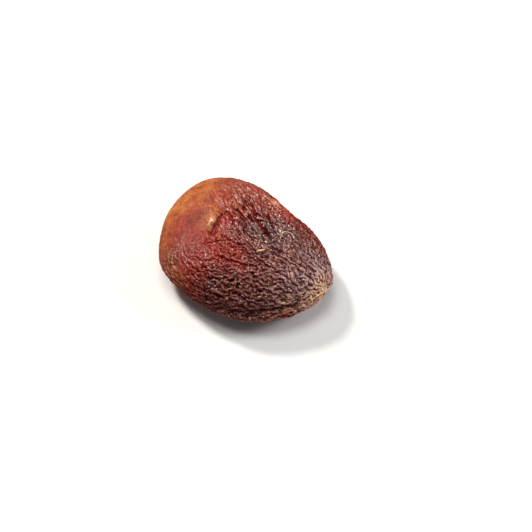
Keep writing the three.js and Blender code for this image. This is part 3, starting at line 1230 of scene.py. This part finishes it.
    def build(self, finish: bpy.types.Material) -> bpy.types.Object:
        """Makes the skin's object.

        Args:
            finish: The skin's material.

        Returns:
            The object, at the origin, in metres.
        """
        skin = new_object("apricot_skin", self.points, self.triangles, finish)
        for name, values in self.marks.items():
            kind, slot = ("FLOAT", "value") if values.ndim == 1 else ("FLOAT_VECTOR", "vector")
            attribute = skin.data.attributes.new(name, kind, "POINT")
            attribute.data.foreach_set(slot, values.astype(np.float32).ravel())
        return skin


def linear(colour: str) -> tuple[float, float, float, float]:
    """Turns an sRGB hex colour into a linear one.

    Args:
        colour: The colour, such as "c86432".

    Returns:
        Its linear red, green, blue and alpha.
    """
    shares = [int(colour[place:place + 2], 16) / 255 for place in (0, 2, 4)]
    red, green, blue = (s / 12.92 if s <= 0.04045 else ((s + 0.055) / 1.055) ** 2.4 for s in shares)
    return red, green, blue, 1.0


def per_metre(size: float) -> float:
    """Returns a texture's scale for features this many millimetres across."""
    return 1.0 / (size * MM)


def add(tree: Tree, kind: str, links: Mapping[int | str, Any] | None = None, **settings: Any) -> Any:
    """Adds a node to a tree, with its settings and what goes into it.

    Args:
        tree: The tree.
        kind: The node's type name.
        links: For each input, by its name or number, the socket or the value that goes into it.
        **settings: The node's own settings.

    Returns:
        The node.
    """
    node = tree.nodes.new(kind)
    for name, value in settings.items():
        setattr(node, name, value)
    for name, value in (links or {}).items():
        if isinstance(value, bpy.types.NodeSocket):
            tree.links.new(value, node.inputs[name])
        else:
            node.inputs[name].default_value = value
    return node


def mark(tree: Tree, name: str, output: str = "Fac") -> Any:
    """Returns the socket of a value that the mesh carries."""
    return add(tree, "ShaderNodeAttribute", attribute_name=name).outputs[output]


def calculate(tree: Tree, operation: str, *values: Any, clamp: bool = False) -> Any:
    """Returns the socket of a sum on sockets and numbers, kept from 0 to 1 if clamp is true."""
    links = dict(enumerate(values))
    return add(tree, "ShaderNodeMath", links, operation=operation, use_clamp=clamp).outputs[0]


def remap(tree: Tree, value: Any, low: float, high: float, start: float = 0.0, end: float = 1.0) -> Any:
    """Stretches a value from one range to another, and holds it at the range's ends.

    Args:
        tree: The tree.
        value: The value's socket.
        low: The value that gives the start.
        high: The value that gives the end.
        start: What the low value turns into.
        end: What the high value turns into.

    Returns:
        The socket of the stretched value.
    """
    links = {"Value": value, "From Min": low, "From Max": high, "To Min": start, "To Max": end}
    return add(tree, "ShaderNodeMapRange", links).outputs["Result"]


def noise(tree: Tree, place: Any, size: float, detail: float = 2.0, roughness: float = 0.5) -> Any:
    """Adds a seamless noise.

    Args:
        tree: The tree.
        place: The socket of the coordinates.
        size: How many millimetres its features are across.
        detail: How many finer layers it has.
        roughness: How strong each finer layer is beside the last.

    Returns:
        The noise's socket, which seldom leaves NOISE_RANGE.
    """
    links = {"Vector": place, "Scale": per_metre(size), "Detail": detail, "Roughness": roughness}
    return add(tree, "ShaderNodeTexNoise", links).outputs["Fac"]


def lay_over(tree: Tree, share: Any, under: Any, over: Any) -> Any:
    """Returns the socket of one colour laid over another by a share from 0 to 1."""
    return add(tree, "ShaderNodeMix", {0: share, 6: under, 7: over}, data_type="RGBA").outputs[2]


def finish_of(name: str) -> tuple[bpy.types.Material, Tree, Any]:
    """Makes an empty material.

    Args:
        name: The material's name.

    Returns:
        The material, its tree, and the socket of the object's own coordinates.
    """
    made = bpy.data.materials.new(name)
    made.use_nodes = True
    made.node_tree.nodes.clear()
    return made, made.node_tree, add(made.node_tree, "ShaderNodeTexCoord").outputs["Object"]


def surface_of(tree: Tree, links: Mapping[int | str, Any], **settings: Any) -> None:
    """Ends a material's tree in one surface shader with these inputs and settings."""
    surface = add(tree, "ShaderNodeBsdfPrincipled", links, **settings)
    add(tree, "ShaderNodeOutputMaterial", {"Surface": surface.outputs[0]})


@dataclass(frozen=True)
class Tones:
    """One zone's colours, as sRGB hex: in its valleys, on its slopes and on its dry ridges.

    The valley colours are darkened with painted shade, and the ridge colours lifted with painted sheen.
    """

    valley: str
    slope: str
    ridge: str


@dataclass(frozen=True)
class Tint:
    """A tint that shows in flecks on the dry ridges: its sRGB hex, size in mm, noise limits and share."""

    colour: str
    size: float
    low: float
    high: float
    share: float


@dataclass(frozen=True)
class DriedSkin:
    """Skin of an apricot dried whole without sulphur: sugary brown flesh under a thin waxy skin.

    It gives the eye an orange, translucent end, whose glow of light through the thin flesh is mostly painted
    into its colour; deep red valleys, darkened in part with painted shade, between greyish pink ridges lifted
    in part with painted sheen and glints; and a pale dusty bloom on the ridges towards the stem end. The real
    skin's grain, fibres and facets are under 0.1 mm, too fine to show, so they are drawn coarser, at 0.3 to
    0.45 mm. The mottling is at its real size: patches of flesh two to three millimetres across that dried
    unevenly. The glow computed in depth is light that goes about half a millimetre into the flesh, red
    further than green and blue.

    The stops say where a zone's three colours stand along the tone, from 0 in a wet valley with painted shade
    to 1 on a dry ridge with painted sheen. The gains say how far streaks, grain and mottling move the tone
    where the skin is wrinkled, and where it is calm, that is waxy and even.
    """

    # The near-black valley colours are partly painted shade.
    flesh: Tones = Tones("030101", "110101", "a71905")
    layers: tuple[tuple[Zone, Tones], ...] = (
        (Zone.RUDDY, Tones("8d0301", "851603", "af3713")),
        # The orange end's colours carry a painted glow of light through the thin flesh.
        (Zone.PLUMP_AND_GLOW, Tones("aa2302", "ab591e", "c28f54")),
        (Zone.ROSE, Tones("7a2c16", "843422", "9f5c4b")),
        (Zone.ASHEN, Tones("560703", "6c2e1a", "834e46")),
        (Zone.DUSK, Tones("220403", "633d34", "654348")),
        (Zone.WINE, Tones("880402", "88240f", "9b3d2f")),
        (Zone.BLOOM, Tones("0f0101", "651c18", "c7a09f")),
        # The dark flank's colours: its own maroon, darkened with painted shade.
        (Zone.MAROON_AND_SHADE, Tones("4a0101", "300202", "7c4038")),
        # The pale zone's colours, partly a painted highlight.
        (Zone.CREAM_AND_HIGHLIGHT, Tones("7a3420", "d08a5c", "f4d4ac")),
    )
    tints: tuple[Tint, ...] = (
        # Palest flecks: partly pale dust, partly painted glints on the ridges.
        Tint("f2d8c4", 0.5, 0.57, 0.68, 0.6),
        Tint("b4662a", 0.7, 0.57, 0.68, 0.5),
        Tint("75606e", 1.3, 0.52, 0.66, 0.45),
    )
    # The colour of the cuts: the flesh's wet red, darkened with painted shade.
    wet_gash_with_shade: str = "760903"
    stops: tuple[float, float, float] = (0.25, 0.5, 0.78)
    mottle_size: float = 2.4
    patchiness: float = 0.16
    edge_raggedness: float = 0.28
    grain_size: float = 0.38
    facet_size: float = 0.45
    facet_depth: float = 0.1
    facets_when_calm: float = 0.5
    streak_width: float = 0.3
    streak_step: float = 0.16
    streak_reach: int = 2
    streak_range: float = 0.4
    wrinkled_gains: tuple[float, float, float] = (0.45, 0.6, 0.0)
    calm_gains: tuple[float, float, float] = (0.15, 0.55, 0.35)
    calm_share: float = 0.85
    calm_depths: tuple[float, float] = (0.08, 0.4)
    streaked_depths: tuple[float, float] = (0.04, 0.25)
    least_streaked: float = 0.1
    fleck_tones: tuple[float, float] = (0.4, 0.7)
    least_flecked: float = 0.1
    least_dry: float = 0.2
    ior: float = 1.45
    specular: float = 0.38
    roughness: float = 0.15
    smoother: float = 0.05
    rougher: float = 0.1
    bloom_roughness: float = 0.25
    satin_roughness: float = 0.5
    glint_grain: tuple[float, float] = (0.6, 0.66)
    glint_satin: float = 0.1
    glow: float = 0.25
    glow_reach: float = 0.6
    glow_colours: tuple[float, float, float] = (1.0, 0.18, 0.08)

    def material(self) -> bpy.types.Material:
        """Makes the skin's material.

        Returns:
            The material. It reads the zones, the relief and the flow that the skin's mesh carries.
        """
        made, tree, place = finish_of("sun_dried_apricot_skin")
        mottle = noise(tree, place, self.mottle_size, 4.0, 0.6)
        grain = noise(tree, place, self.grain_size, 3.0, 0.6)
        calm = self._calm(tree)
        tone = self._tone(tree, self._streak(tree, place), grain, mottle, calm)
        colour = self._zones(tree, mottle, tone)
        colour = self._tinted(tree, place, tone, colour)
        patchy = remap(tree, mottle, *NOISE_RANGE, 1 - self.patchiness, 1 + self.patchiness)
        colour = add(tree, "ShaderNodeVectorMath", {0: colour, "Scale": patchy}, operation="SCALE").outputs[0]
        # Lays the painted shade of the cuts, in the flesh's wet red, over the colour.
        colour = lay_over(tree, mark(tree, "gash"), colour, linear(self.wet_gash_with_shade))
        facet = noise(tree, place, self.facet_size, 0.0)
        faceted = remap(tree, calm, 0.0, 1.0, 1.0, self.facets_when_calm)
        links = {"Height": facet, "Strength": faceted, "Distance": self.facet_depth * MM}
        relief = add(tree, "ShaderNodeBump", links)
        surface_of(
            tree,
            {
                "Base Color": colour,
                "Roughness": self._rough(tree, grain, calm),
                "IOR": self.ior,
                "Specular IOR Level": self.specular,
                "Normal": relief.outputs[0],
                "Subsurface Weight": self.glow,
                "Subsurface Radius": self.glow_colours,
                "Subsurface Scale": self.glow_reach * MM,
            },
            subsurface_method="RANDOM_WALK",
        )
        return made

    def _rough(self, tree: Tree, grain: Any, calm: Any) -> Any:
        """Works out how rough the skin is: wet and glossy where it is wrinkled, satin where it is waxy.

        Args:
            tree: The material's tree.
            grain: The socket of the fine grain noise.
            calm: The socket that says how waxy and even the skin is.

        Returns:
            The socket of the roughness.
        """
        smoothest, roughest = self.roughness - self.smoother, self.roughness + self.rougher
        rough = remap(tree, grain, *NOISE_RANGE, smoothest, roughest)
        unlit = remap(tree, grain, *self.glint_grain, 1.0, self.glint_satin)
        satin = calculate(tree, "MULTIPLY", calm, unlit)
        bloom = mark(tree, Zone.BLOOM.value)
        for share, more in ((bloom, self.bloom_roughness), (satin, self.satin_roughness)):
            rough = calculate(tree, "MULTIPLY_ADD", share, more, rough)
        return rough

    def _tinted(self, tree: Tree, place: Any, tone: Any, colour: Any) -> Any:
        """Lays flecks of other tints over the ridges of the dry zones; the palest are partly painted glints.

        Args:
            tree: The material's tree.
            place: The socket of the object coordinates.
            tone: The socket that runs from 0 in a valley to 1 on a ridge.
            colour: The socket of the colour under the flecks.

        Returns:
            The socket of the flecked colour.
        """
        dry: Any = self.least_dry
        for zone in (Zone.ASHEN, Zone.BLOOM, Zone.DUSK):
            dry = calculate(tree, "ADD", dry, mark(tree, zone.value), clamp=True)
        on_ridge = remap(tree, tone, *self.fleck_tones, self.least_flecked, 1.0)
        open_skin = calculate(tree, "MULTIPLY", dry, on_ridge)
        for number, tint in enumerate(self.tints):
            flecks = add(
                tree, "ShaderNodeTexNoise",
                {"Vector": place, "W": 7.0 * (number + 1), "Scale": per_metre(tint.size), "Detail": 2.0},
                noise_dimensions="4D",
            ).outputs["Fac"]
            shown = remap(tree, flecks, tint.low, tint.high, 0.0, tint.share)
            share = calculate(tree, "MULTIPLY", shown, open_skin)
            colour = lay_over(tree, share, colour, linear(tint.colour))
        return colour

    def _streak(self, tree: Tree, place: Any) -> Any:
        """Smears a fine noise along the wrinkles, as the skin's fibres and its dried juice run.

        Args:
            tree: The material's tree.
            place: The socket of the object coordinates.

        Returns:
            The socket of the streaks, from 0 to 1.
        """
        flow = mark(tree, "flow", "Vector")
        total: Any = 0.0
        for step in range(-self.streak_reach, self.streak_reach + 1):
            links = {0: flow, 1: (step * self.streak_step * MM,) * 3, 2: place}
            shifted = add(tree, "ShaderNodeVectorMath", links, operation="MULTIPLY_ADD").outputs[0]
            total = calculate(tree, "ADD", total, noise(tree, shifted, self.streak_width, 1.0))
        mean = (2 * self.streak_reach + 1) / 2
        return remap(tree, total, mean - self.streak_range, mean + self.streak_range)

    def _calm(self, tree: Tree) -> Any:
        """Works out where the skin is waxy and even.

        Args:
            tree: The material's tree.

        Returns:
            The socket that runs from 0 where the skin is wrinkled to 1 where it is waxy and even.
        """
        ruddy, plump_and_glow = mark(tree, Zone.RUDDY.value), mark(tree, Zone.PLUMP_AND_GLOW.value)
        waxy = calculate(tree, "ADD", ruddy, plump_and_glow, clamp=True)
        even = remap(tree, mark(tree, "depth"), *self.calm_depths, 1.0, 0.0)
        return calculate(tree, "MULTIPLY", waxy, even)

    def _tone(self, tree: Tree, streak: Any, grain: Any, mottle: Any, calm: Any) -> Any:
        """Works out how far each point is from a wet valley, 0, to a dry ridge, 1.

        The colours follow it, so it also paints shade in the valleys and sheen on the ridges.

        Args:
            tree: The material's tree.
            streak: The socket of the streaks.
            grain: The socket of the fine grain noise.
            mottle: The socket of the mottling noise.
            calm: The socket that says how waxy and even the skin is.

        Returns:
            The socket of the tone.
        """
        streak, grain, mottle = [calculate(tree, "SUBTRACT", value, 0.5) for value in (streak, grain, mottle)]
        streaked = remap(tree, mark(tree, "depth"), *self.streaked_depths, self.least_streaked, 1.0)
        streak = calculate(tree, "MULTIPLY", streak, streaked)
        tones = []
        for tone, gains in ((mark(tree, "relief"), self.wrinkled_gains), (0.5, self.calm_gains)):
            for value, gain in zip((streak, grain, mottle), gains):
                tone = calculate(tree, "MULTIPLY_ADD", value, gain, tone)
            tones.append(tone)
        share = calculate(tree, "MULTIPLY", calm, self.calm_share)
        return add(tree, "ShaderNodeMix", {0: share, 2: tones[0], 3: tones[1]}, data_type="FLOAT").outputs[0]

    def _ramp(self, tree: Tree, tones: Tones, tone: Any) -> Any:
        """Colours one zone from its valleys to its ridges.

        Args:
            tree: The material's tree.
            tones: The zone's colours.
            tone: The socket that runs from 0 in a valley to 1 on a ridge.

        Returns:
            The socket of the zone's colour.
        """
        ramp = add(tree, "ShaderNodeValToRGB", {0: tone})
        elements = ramp.color_ramp.elements
        elements.new(self.stops[1])
        for element, stop, colour in zip(elements, self.stops, (tones.valley, tones.slope, tones.ridge)):
            element.position = stop
            element.color = linear(colour)
        return ramp.outputs["Color"]

    def _zones(self, tree: Tree, mottle: Any, tone: Any) -> Any:
        """Lays the colour zones over the flesh, each with a mottled edge.

        Args:
            tree: The material's tree.
            mottle: The socket of the mottling noise.
            tone: The socket that runs from 0 in a valley to 1 on a ridge.

        Returns:
            The socket of the colour.
        """
        colour = self._ramp(tree, self.flesh, tone)
        ragged = remap(tree, mottle, *NOISE_RANGE, 1 - self.edge_raggedness, 1 + self.edge_raggedness)
        for zone, tones in self.layers:
            share = calculate(tree, "MULTIPLY", mark(tree, zone.value), ragged, clamp=True)
            colour = lay_over(tree, share, colour, self._ramp(tree, tones, tone))
        return colour


@dataclass(frozen=True)
class PaleCard:
    """Matt white card: paper fibres a millimetre long, pressed smooth, which scatter the light evenly."""

    colour: str = "f4f3f1"
    roughness: float = 0.9
    fibre_size: float = 1.1
    fibre_depth: float = 0.05
    fibre_strength: float = 0.1

    def material(self) -> bpy.types.Material:
        """Makes the card's material.

        Returns:
            The material, with a faint grain of fibres.
        """
        made, tree, place = finish_of("matt_white_card")
        fibre = noise(tree, place, self.fibre_size, 3.0)
        links = {"Height": fibre, "Strength": self.fibre_strength, "Distance": self.fibre_depth * MM}
        relief = add(tree, "ShaderNodeBump", links).outputs[0]
        surface_of(tree, {"Base Color": linear(self.colour), "Roughness": self.roughness, "Normal": relief})
        return made


@dataclass(frozen=True)
class SugarCrust:
    """Sugar that bled out of the flesh and dried in matt crumbs: pale and tawny specks on the ridges."""

    pale: str = "efd2b8"
    tawny: str = "b5713c"
    patch_size: float = 1.6
    patch_range: tuple[float, float] = (0.42, 0.58)
    roughness: float = 0.6
    ior: float = 1.5

    def material(self) -> bpy.types.Material:
        """Makes the crumbs' material.

        Returns:
            The material: each crumb is pale or tawny by where it lies.
        """
        made, tree, place = finish_of("dried_sugar_crust")
        share = remap(tree, noise(tree, place, self.patch_size), *self.patch_range)
        colour = lay_over(tree, share, linear(self.tawny), linear(self.pale))
        surface_of(tree, {"Base Color": colour, "Roughness": self.roughness, "IOR": self.ior})
        return made


@dataclass(frozen=True)
class Straw:
    """A dry plant fibre: straw that split along its length, pale and slightly glossy with a streaky grain.

    The real grain is under 0.1 mm, too fine to show, so it is drawn coarser.
    """

    light: str = "f2cfa0"
    dark: str = "c07c48"
    streak_size: float = 0.35
    streak_range: tuple[float, float] = (0.35, 0.6)
    roughness: float = 0.45
    ior: float = 1.5

    def material(self) -> bpy.types.Material:
        """Makes the fibres' material.

        Returns:
            The material.
        """
        made, tree, place = finish_of("dry_straw")
        share = remap(tree, noise(tree, place, self.streak_size), *self.streak_range)
        colour = lay_over(tree, share, linear(self.dark), linear(self.light))
        surface_of(tree, {"Base Color": colour, "Roughness": self.roughness, "IOR": self.ior})
        return made


@dataclass(frozen=True)
class Crumbs:
    """The crumbs of dried sugar on the ridges, scattered by Geometry Nodes where the skin is dusty.

    The flattest and the fattest are a crumb's least and greatest stretch along, across and out of the skin.
    """

    per_square_mm: float = 3.2
    smallest: float = 0.05
    largest: float = 0.14
    flattest: tuple[float, float, float] = (0.6, 0.6, 0.35)
    fattest: tuple[float, float, float] = (1.6, 1.2, 0.7)
    seed: int = 5
    stretch_seed: int = 3

    def _tree(self, finish: bpy.types.Material) -> tuple[Tree, dict[str, str]]:
        """Builds the node tree.

        Args:
            finish: The crumbs' material.

        Returns:
            The tree, and the identifier of each of its named inputs.
        """
        tree = bpy.data.node_groups.new("sugar_crumbs", "GeometryNodeTree")
        face = tree.interface
        face.new_socket(name="Geometry", in_out="INPUT", socket_type="NodeSocketGeometry")
        names = {}
        kinds = {"Density": "Float", "Smallest": "Float", "Largest": "Float", "Seed": "Int"}
        for name, kind in kinds.items():
            socket = face.new_socket(name=name, in_out="INPUT", socket_type=f"NodeSocket{kind}")
            names[name] = socket.identifier
        face.new_socket(name="Geometry", in_out="OUTPUT", socket_type="NodeSocketGeometry")
        given = add(tree, "NodeGroupInput").outputs
        dust = add(tree, "GeometryNodeInputNamedAttribute", {"Name": "dust"}, data_type="FLOAT")
        density = calculate(tree, "MULTIPLY", dust.outputs["Attribute"], given["Density"])
        scattered = add(
            tree, "GeometryNodeDistributePointsOnFaces",
            {"Mesh": given["Geometry"], "Density": density, "Seed": given["Seed"]},
        )
        crumb = add(tree, "GeometryNodeMeshIcoSphere", {"Radius": 1.0, "Subdivisions": 1}).outputs["Mesh"]
        radius = add(
            tree, "FunctionNodeRandomValue",
            {"Min": given["Smallest"], "Max": given["Largest"], "Seed": given["Seed"]},
            data_type="FLOAT",
        )
        stretch = add(
            tree, "FunctionNodeRandomValue",
            {0: self.flattest, 1: self.fattest, "Seed": self.stretch_seed},
            data_type="FLOAT_VECTOR",
        ).outputs[0]
        size = next(socket for socket in radius.outputs if socket.enabled)
        scale = add(tree, "ShaderNodeVectorMath", {0: stretch, "Scale": size}, operation="SCALE").outputs[0]
        placed = add(
            tree, "GeometryNodeInstanceOnPoints",
            {
                "Points": scattered.outputs["Points"],
                "Instance": crumb,
                "Rotation": scattered.outputs["Rotation"],
                "Scale": scale,
            },
        ).outputs[0]
        real = add(tree, "GeometryNodeRealizeInstances", {"Geometry": placed}).outputs[0]
        dressed = add(tree, "GeometryNodeSetMaterial", {"Geometry": real, "Material": finish}).outputs[0]
        add(tree, "NodeGroupOutput", {"Geometry": dressed})
        return tree, names

    def build(self, skin: bpy.types.Object, finish: bpy.types.Material) -> bpy.types.Object:
        """Scatters the crumbs over the skin.

        Args:
            skin: The skin, whose mesh says how dusty it is at each point.
            finish: The crumbs' material.

        Returns:
            The object of all the crumbs, as one plain mesh.
        """
        crumbs = bpy.data.objects.new("sugar_crumbs", skin.data)
        bpy.context.collection.objects.link(crumbs)
        modifier = crumbs.modifiers.new("scatter", "NODES")
        tree, names = self._tree(finish)
        modifier.node_group = tree
        modifier[names["Density"]] = self.per_square_mm / MM**2
        modifier[names["Smallest"]] = self.smallest * MM
        modifier[names["Largest"]] = self.largest * MM
        modifier[names["Seed"]] = self.seed
        made = crumbs.evaluated_get(bpy.context.evaluated_depsgraph_get())
        mesh = bpy.data.meshes.new_from_object(made)
        crumbs.modifiers.clear()
        crumbs.data = mesh
        mesh.name = "sugar_crumbs"
        return crumbs


@dataclass(frozen=True)
class Fibre:
    """One thin dry fibre stuck to the skin: the plan points that it runs over, its radius and its lift."""

    through: tuple[tuple[float, float], ...]
    radius: float
    lift: float
    steps: int = 7
    sides: int = 6
    smoothed_over: int = 5
    blunt_end: float = 0.12

    def mesh(self, skin: Skin) -> tuple[Array, Array]:
        """Lays the fibre over the skin.

        Args:
            skin: The skin, already shaped.

        Returns:
            The points and the triangles of a tapered closed tube.
        """
        plan = smooth_line(np.array(self.through), self.steps)
        line = np.array([skin.top(*at) for at in plan])
        line[:, 2] += self.radius + self.lift * np.sin(np.linspace(0.0, math.pi, len(line)))
        padded = np.pad(line[:, 2], self.smoothed_over // 2, mode="edge")
        heights = np.convolve(padded, np.full(self.smoothed_over, 1 / self.smoothed_over), mode="valid")
        line[:, 2] = np.maximum(line[:, 2], heights)
        run = np.gradient(line, axis=0)
        run /= np.linalg.norm(run, axis=1, keepdims=True)
        side = np.cross(run, [0.0, 0.0, 1.0])
        side /= np.linalg.norm(side, axis=1, keepdims=True)
        up = np.cross(side, run)
        taper = np.sin(np.linspace(self.blunt_end, math.pi - self.blunt_end, len(line)))
        radius = self.radius * np.sqrt(taper)
        turn = np.arange(self.sides) * 2 * math.pi / self.sides
        ring = np.cos(turn)[:, None] * side[:, None] + np.sin(turn)[:, None] * up[:, None]
        points = (line[:, None] + radius[:, None, None] * ring).reshape(-1, 3)
        triangles = []
        for step in range(len(line) - 1):
            for corner in range(self.sides):
                a, b = step * self.sides + corner, step * self.sides + (corner + 1) % self.sides
                triangles += [(a, b, a + self.sides), (b, b + self.sides, a + self.sides)]
        first, last = len(points), len(points) + 1
        end = (len(line) - 1) * self.sides
        for corner in range(self.sides):
            following = (corner + 1) % self.sides
            triangles += [(first, following, corner), (last, end + corner, end + following)]
        return np.vstack([points, line[:1], line[-1:]]), np.array(triangles)


@dataclass(frozen=True)
class Fibres:
    """The fibres of dry straw on the crown: a small curl, and a short tan dash that is sunk in a little."""

    pieces: tuple[Fibre, ...] = (
        Fibre(((7.2, 3.4), (6.9, 4.4), (7.1, 5.3), (8.2, 6.1), (9.0, 5.6)), 0.13, 0.3),
        Fibre(((5.1, -2.8), (5.7, -2.0), (6.3, -1.2)), 0.26, -0.12),
    )

    def build(self, skin: Skin, finish: bpy.types.Material) -> bpy.types.Object:
        """Makes the fibres' object.

        Args:
            skin: The skin, already shaped.
            finish: The fibres' material.

        Returns:
            The object, at the origin, in metres.
        """
        points, triangles, count = [], [], 0
        for fibre in self.pieces:
            own_points, own_triangles = fibre.mesh(skin)
            points.append(own_points)
            triangles.append(own_triangles + count)
            count += len(own_points)
        return new_object("dry_fibres", np.vstack(points), np.vstack(triangles), finish)


@dataclass(frozen=True)
class Lamp:
    """One soft box: its place right of, behind and above the fruit as the camera sees it, in metres."""

    name: str
    right: float
    behind: float
    above: float
    width: float
    watts: float
    colour: str = "ffffff"


@dataclass(frozen=True)
class Studio:
    """The pale floor, the soft lights and the camera, which looks down on the fruit at about 56 degrees.

    The azimuth and elevation are the camera's. The pixel size is in millimetres at the fruit, and the origin
    pixel is where the middle of the fruit's underside stands in a square frame of so many pixels.
    """

    azimuth: float = 35.0
    elevation: float = 56.0
    lens: float = 180.0
    sensor: float = 36.0
    frame_pixels: int = 532
    pixel_size: float = 0.225
    origin_pixel: tuple[float, float] = (245.1, 269.5)
    clip_share: float = 20.0
    floor_side: float = 3000.0
    world_strength: float = 0.12
    lamps: tuple[Lamp, ...] = (
        Lamp("overhead_soft_box", -0.05, 0.05, 0.6, 0.3, 1.5),
        Lamp("back_left_soft_box", -0.32, 0.34, 0.48, 0.12, 4.0, "fffaf2"),
        Lamp("right_soft_box", 0.5, 0.05, 0.32, 0.2, 1.7),
    )

    def axes(self) -> tuple[Vector, Vector, Vector]:
        """Works out which way the camera faces.

        Returns:
            The camera's right, up and backward directions.
        """
        turn, tip = math.radians(self.azimuth), math.radians(self.elevation)
        right = Vector((math.cos(turn), math.sin(turn), 0.0))
        back = Vector((math.sin(turn) * math.cos(tip), -math.cos(turn) * math.cos(tip), math.sin(tip)))
        return right, back.cross(right), back

    def camera(self) -> None:
        """Makes the camera, so that the fruit has its place and scale in the frame."""
        right, up, back = self.axes()
        middle = self.frame_pixels / 2
        aim = right * (middle - self.origin_pixel[0]) + up * (self.origin_pixel[1] - middle)
        span = self.frame_pixels * self.pixel_size * MM
        data = bpy.data.cameras.new("camera")
        data.lens = self.lens
        data.sensor_width = self.sensor
        distance = span * self.lens / self.sensor
        data.clip_start = distance / self.clip_share
        data.clip_end = distance * self.clip_share
        camera = bpy.data.objects.new("camera", data)
        camera.location = aim * self.pixel_size * MM + back * distance
        camera.rotation_mode = "QUATERNION"
        camera.rotation_quaternion = (-back).to_track_quat("-Z", "Y")
        bpy.context.collection.objects.link(camera)
        bpy.context.scene.camera = camera

    def floor(self) -> None:
        """Makes the card that the fruit lies on, which the fruit's gloss doesn't mirror."""
        corners = np.array([(-1, -1, 0), (1, -1, 0), (1, 1, 0), (-1, 1, 0)]) * self.floor_side / 2
        floor = new_object("card_floor", corners, np.array([(0, 1, 2, 3)]), PaleCard().material())
        floor.visible_glossy = False

    def lights(self) -> None:
        """Makes the soft boxes and the even light from all round."""
        right, _, _ = self.axes()
        behind = Vector((0.0, 0.0, 1.0)).cross(right)
        for lamp in self.lamps:
            data = bpy.data.lights.new(lamp.name, "AREA")
            data.size = lamp.width
            data.energy = lamp.watts
            data.color = linear(lamp.colour)[:3]
            light = bpy.data.objects.new(lamp.name, data)
            light.location = right * lamp.right + behind * lamp.behind + Vector((0.0, 0.0, lamp.above))
            light.rotation_mode = "QUATERNION"
            light.rotation_quaternion = (-light.location).to_track_quat("-Z", "Y")
            bpy.context.collection.objects.link(light)
        world = bpy.data.worlds.new("soft_room")
        world.use_nodes = True
        tree = world.node_tree
        tree.nodes.clear()
        sky = add(tree, "ShaderNodeBackground", {"Color": linear("ffffff"), "Strength": self.world_strength})
        add(tree, "ShaderNodeOutputWorld", {"Surface": sky.outputs[0]})
        bpy.context.scene.world = world
        bpy.context.scene.view_settings.view_transform = "Standard"

    def build(self) -> None:
        """Makes the whole studio."""
        self.camera()
        self.floor()
        self.lights()


def main() -> None:
    """Builds the studio and the fruit in order, and reports each piece."""
    logging.basicConfig(level=logging.INFO, format="%(name)s: %(message)s")
    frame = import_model()
    LOG.info("frame: %s", ", ".join(frame["nodes"]))
    Studio().build()
    LOG.info("studio ready")
    skin = Skin()
    skin.shape(*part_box(NODE))
    piece = skin.build(DriedSkin().material())
    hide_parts(NODE)
    LOG.info("skin: %d triangles", len(skin.triangles))
    crumbs = Crumbs().build(piece, SugarCrust().material())
    LOG.info("crumbs: %d triangles", len(crumbs.data.polygons))
    fibres = Fibres().build(skin, Straw().material())
    LOG.info("fibres: %d triangles", len(fibres.data.polygons))
    for part in (piece, crumbs, fibres):
        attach(part, BODY)


if __name__ == "__main__":
    main()
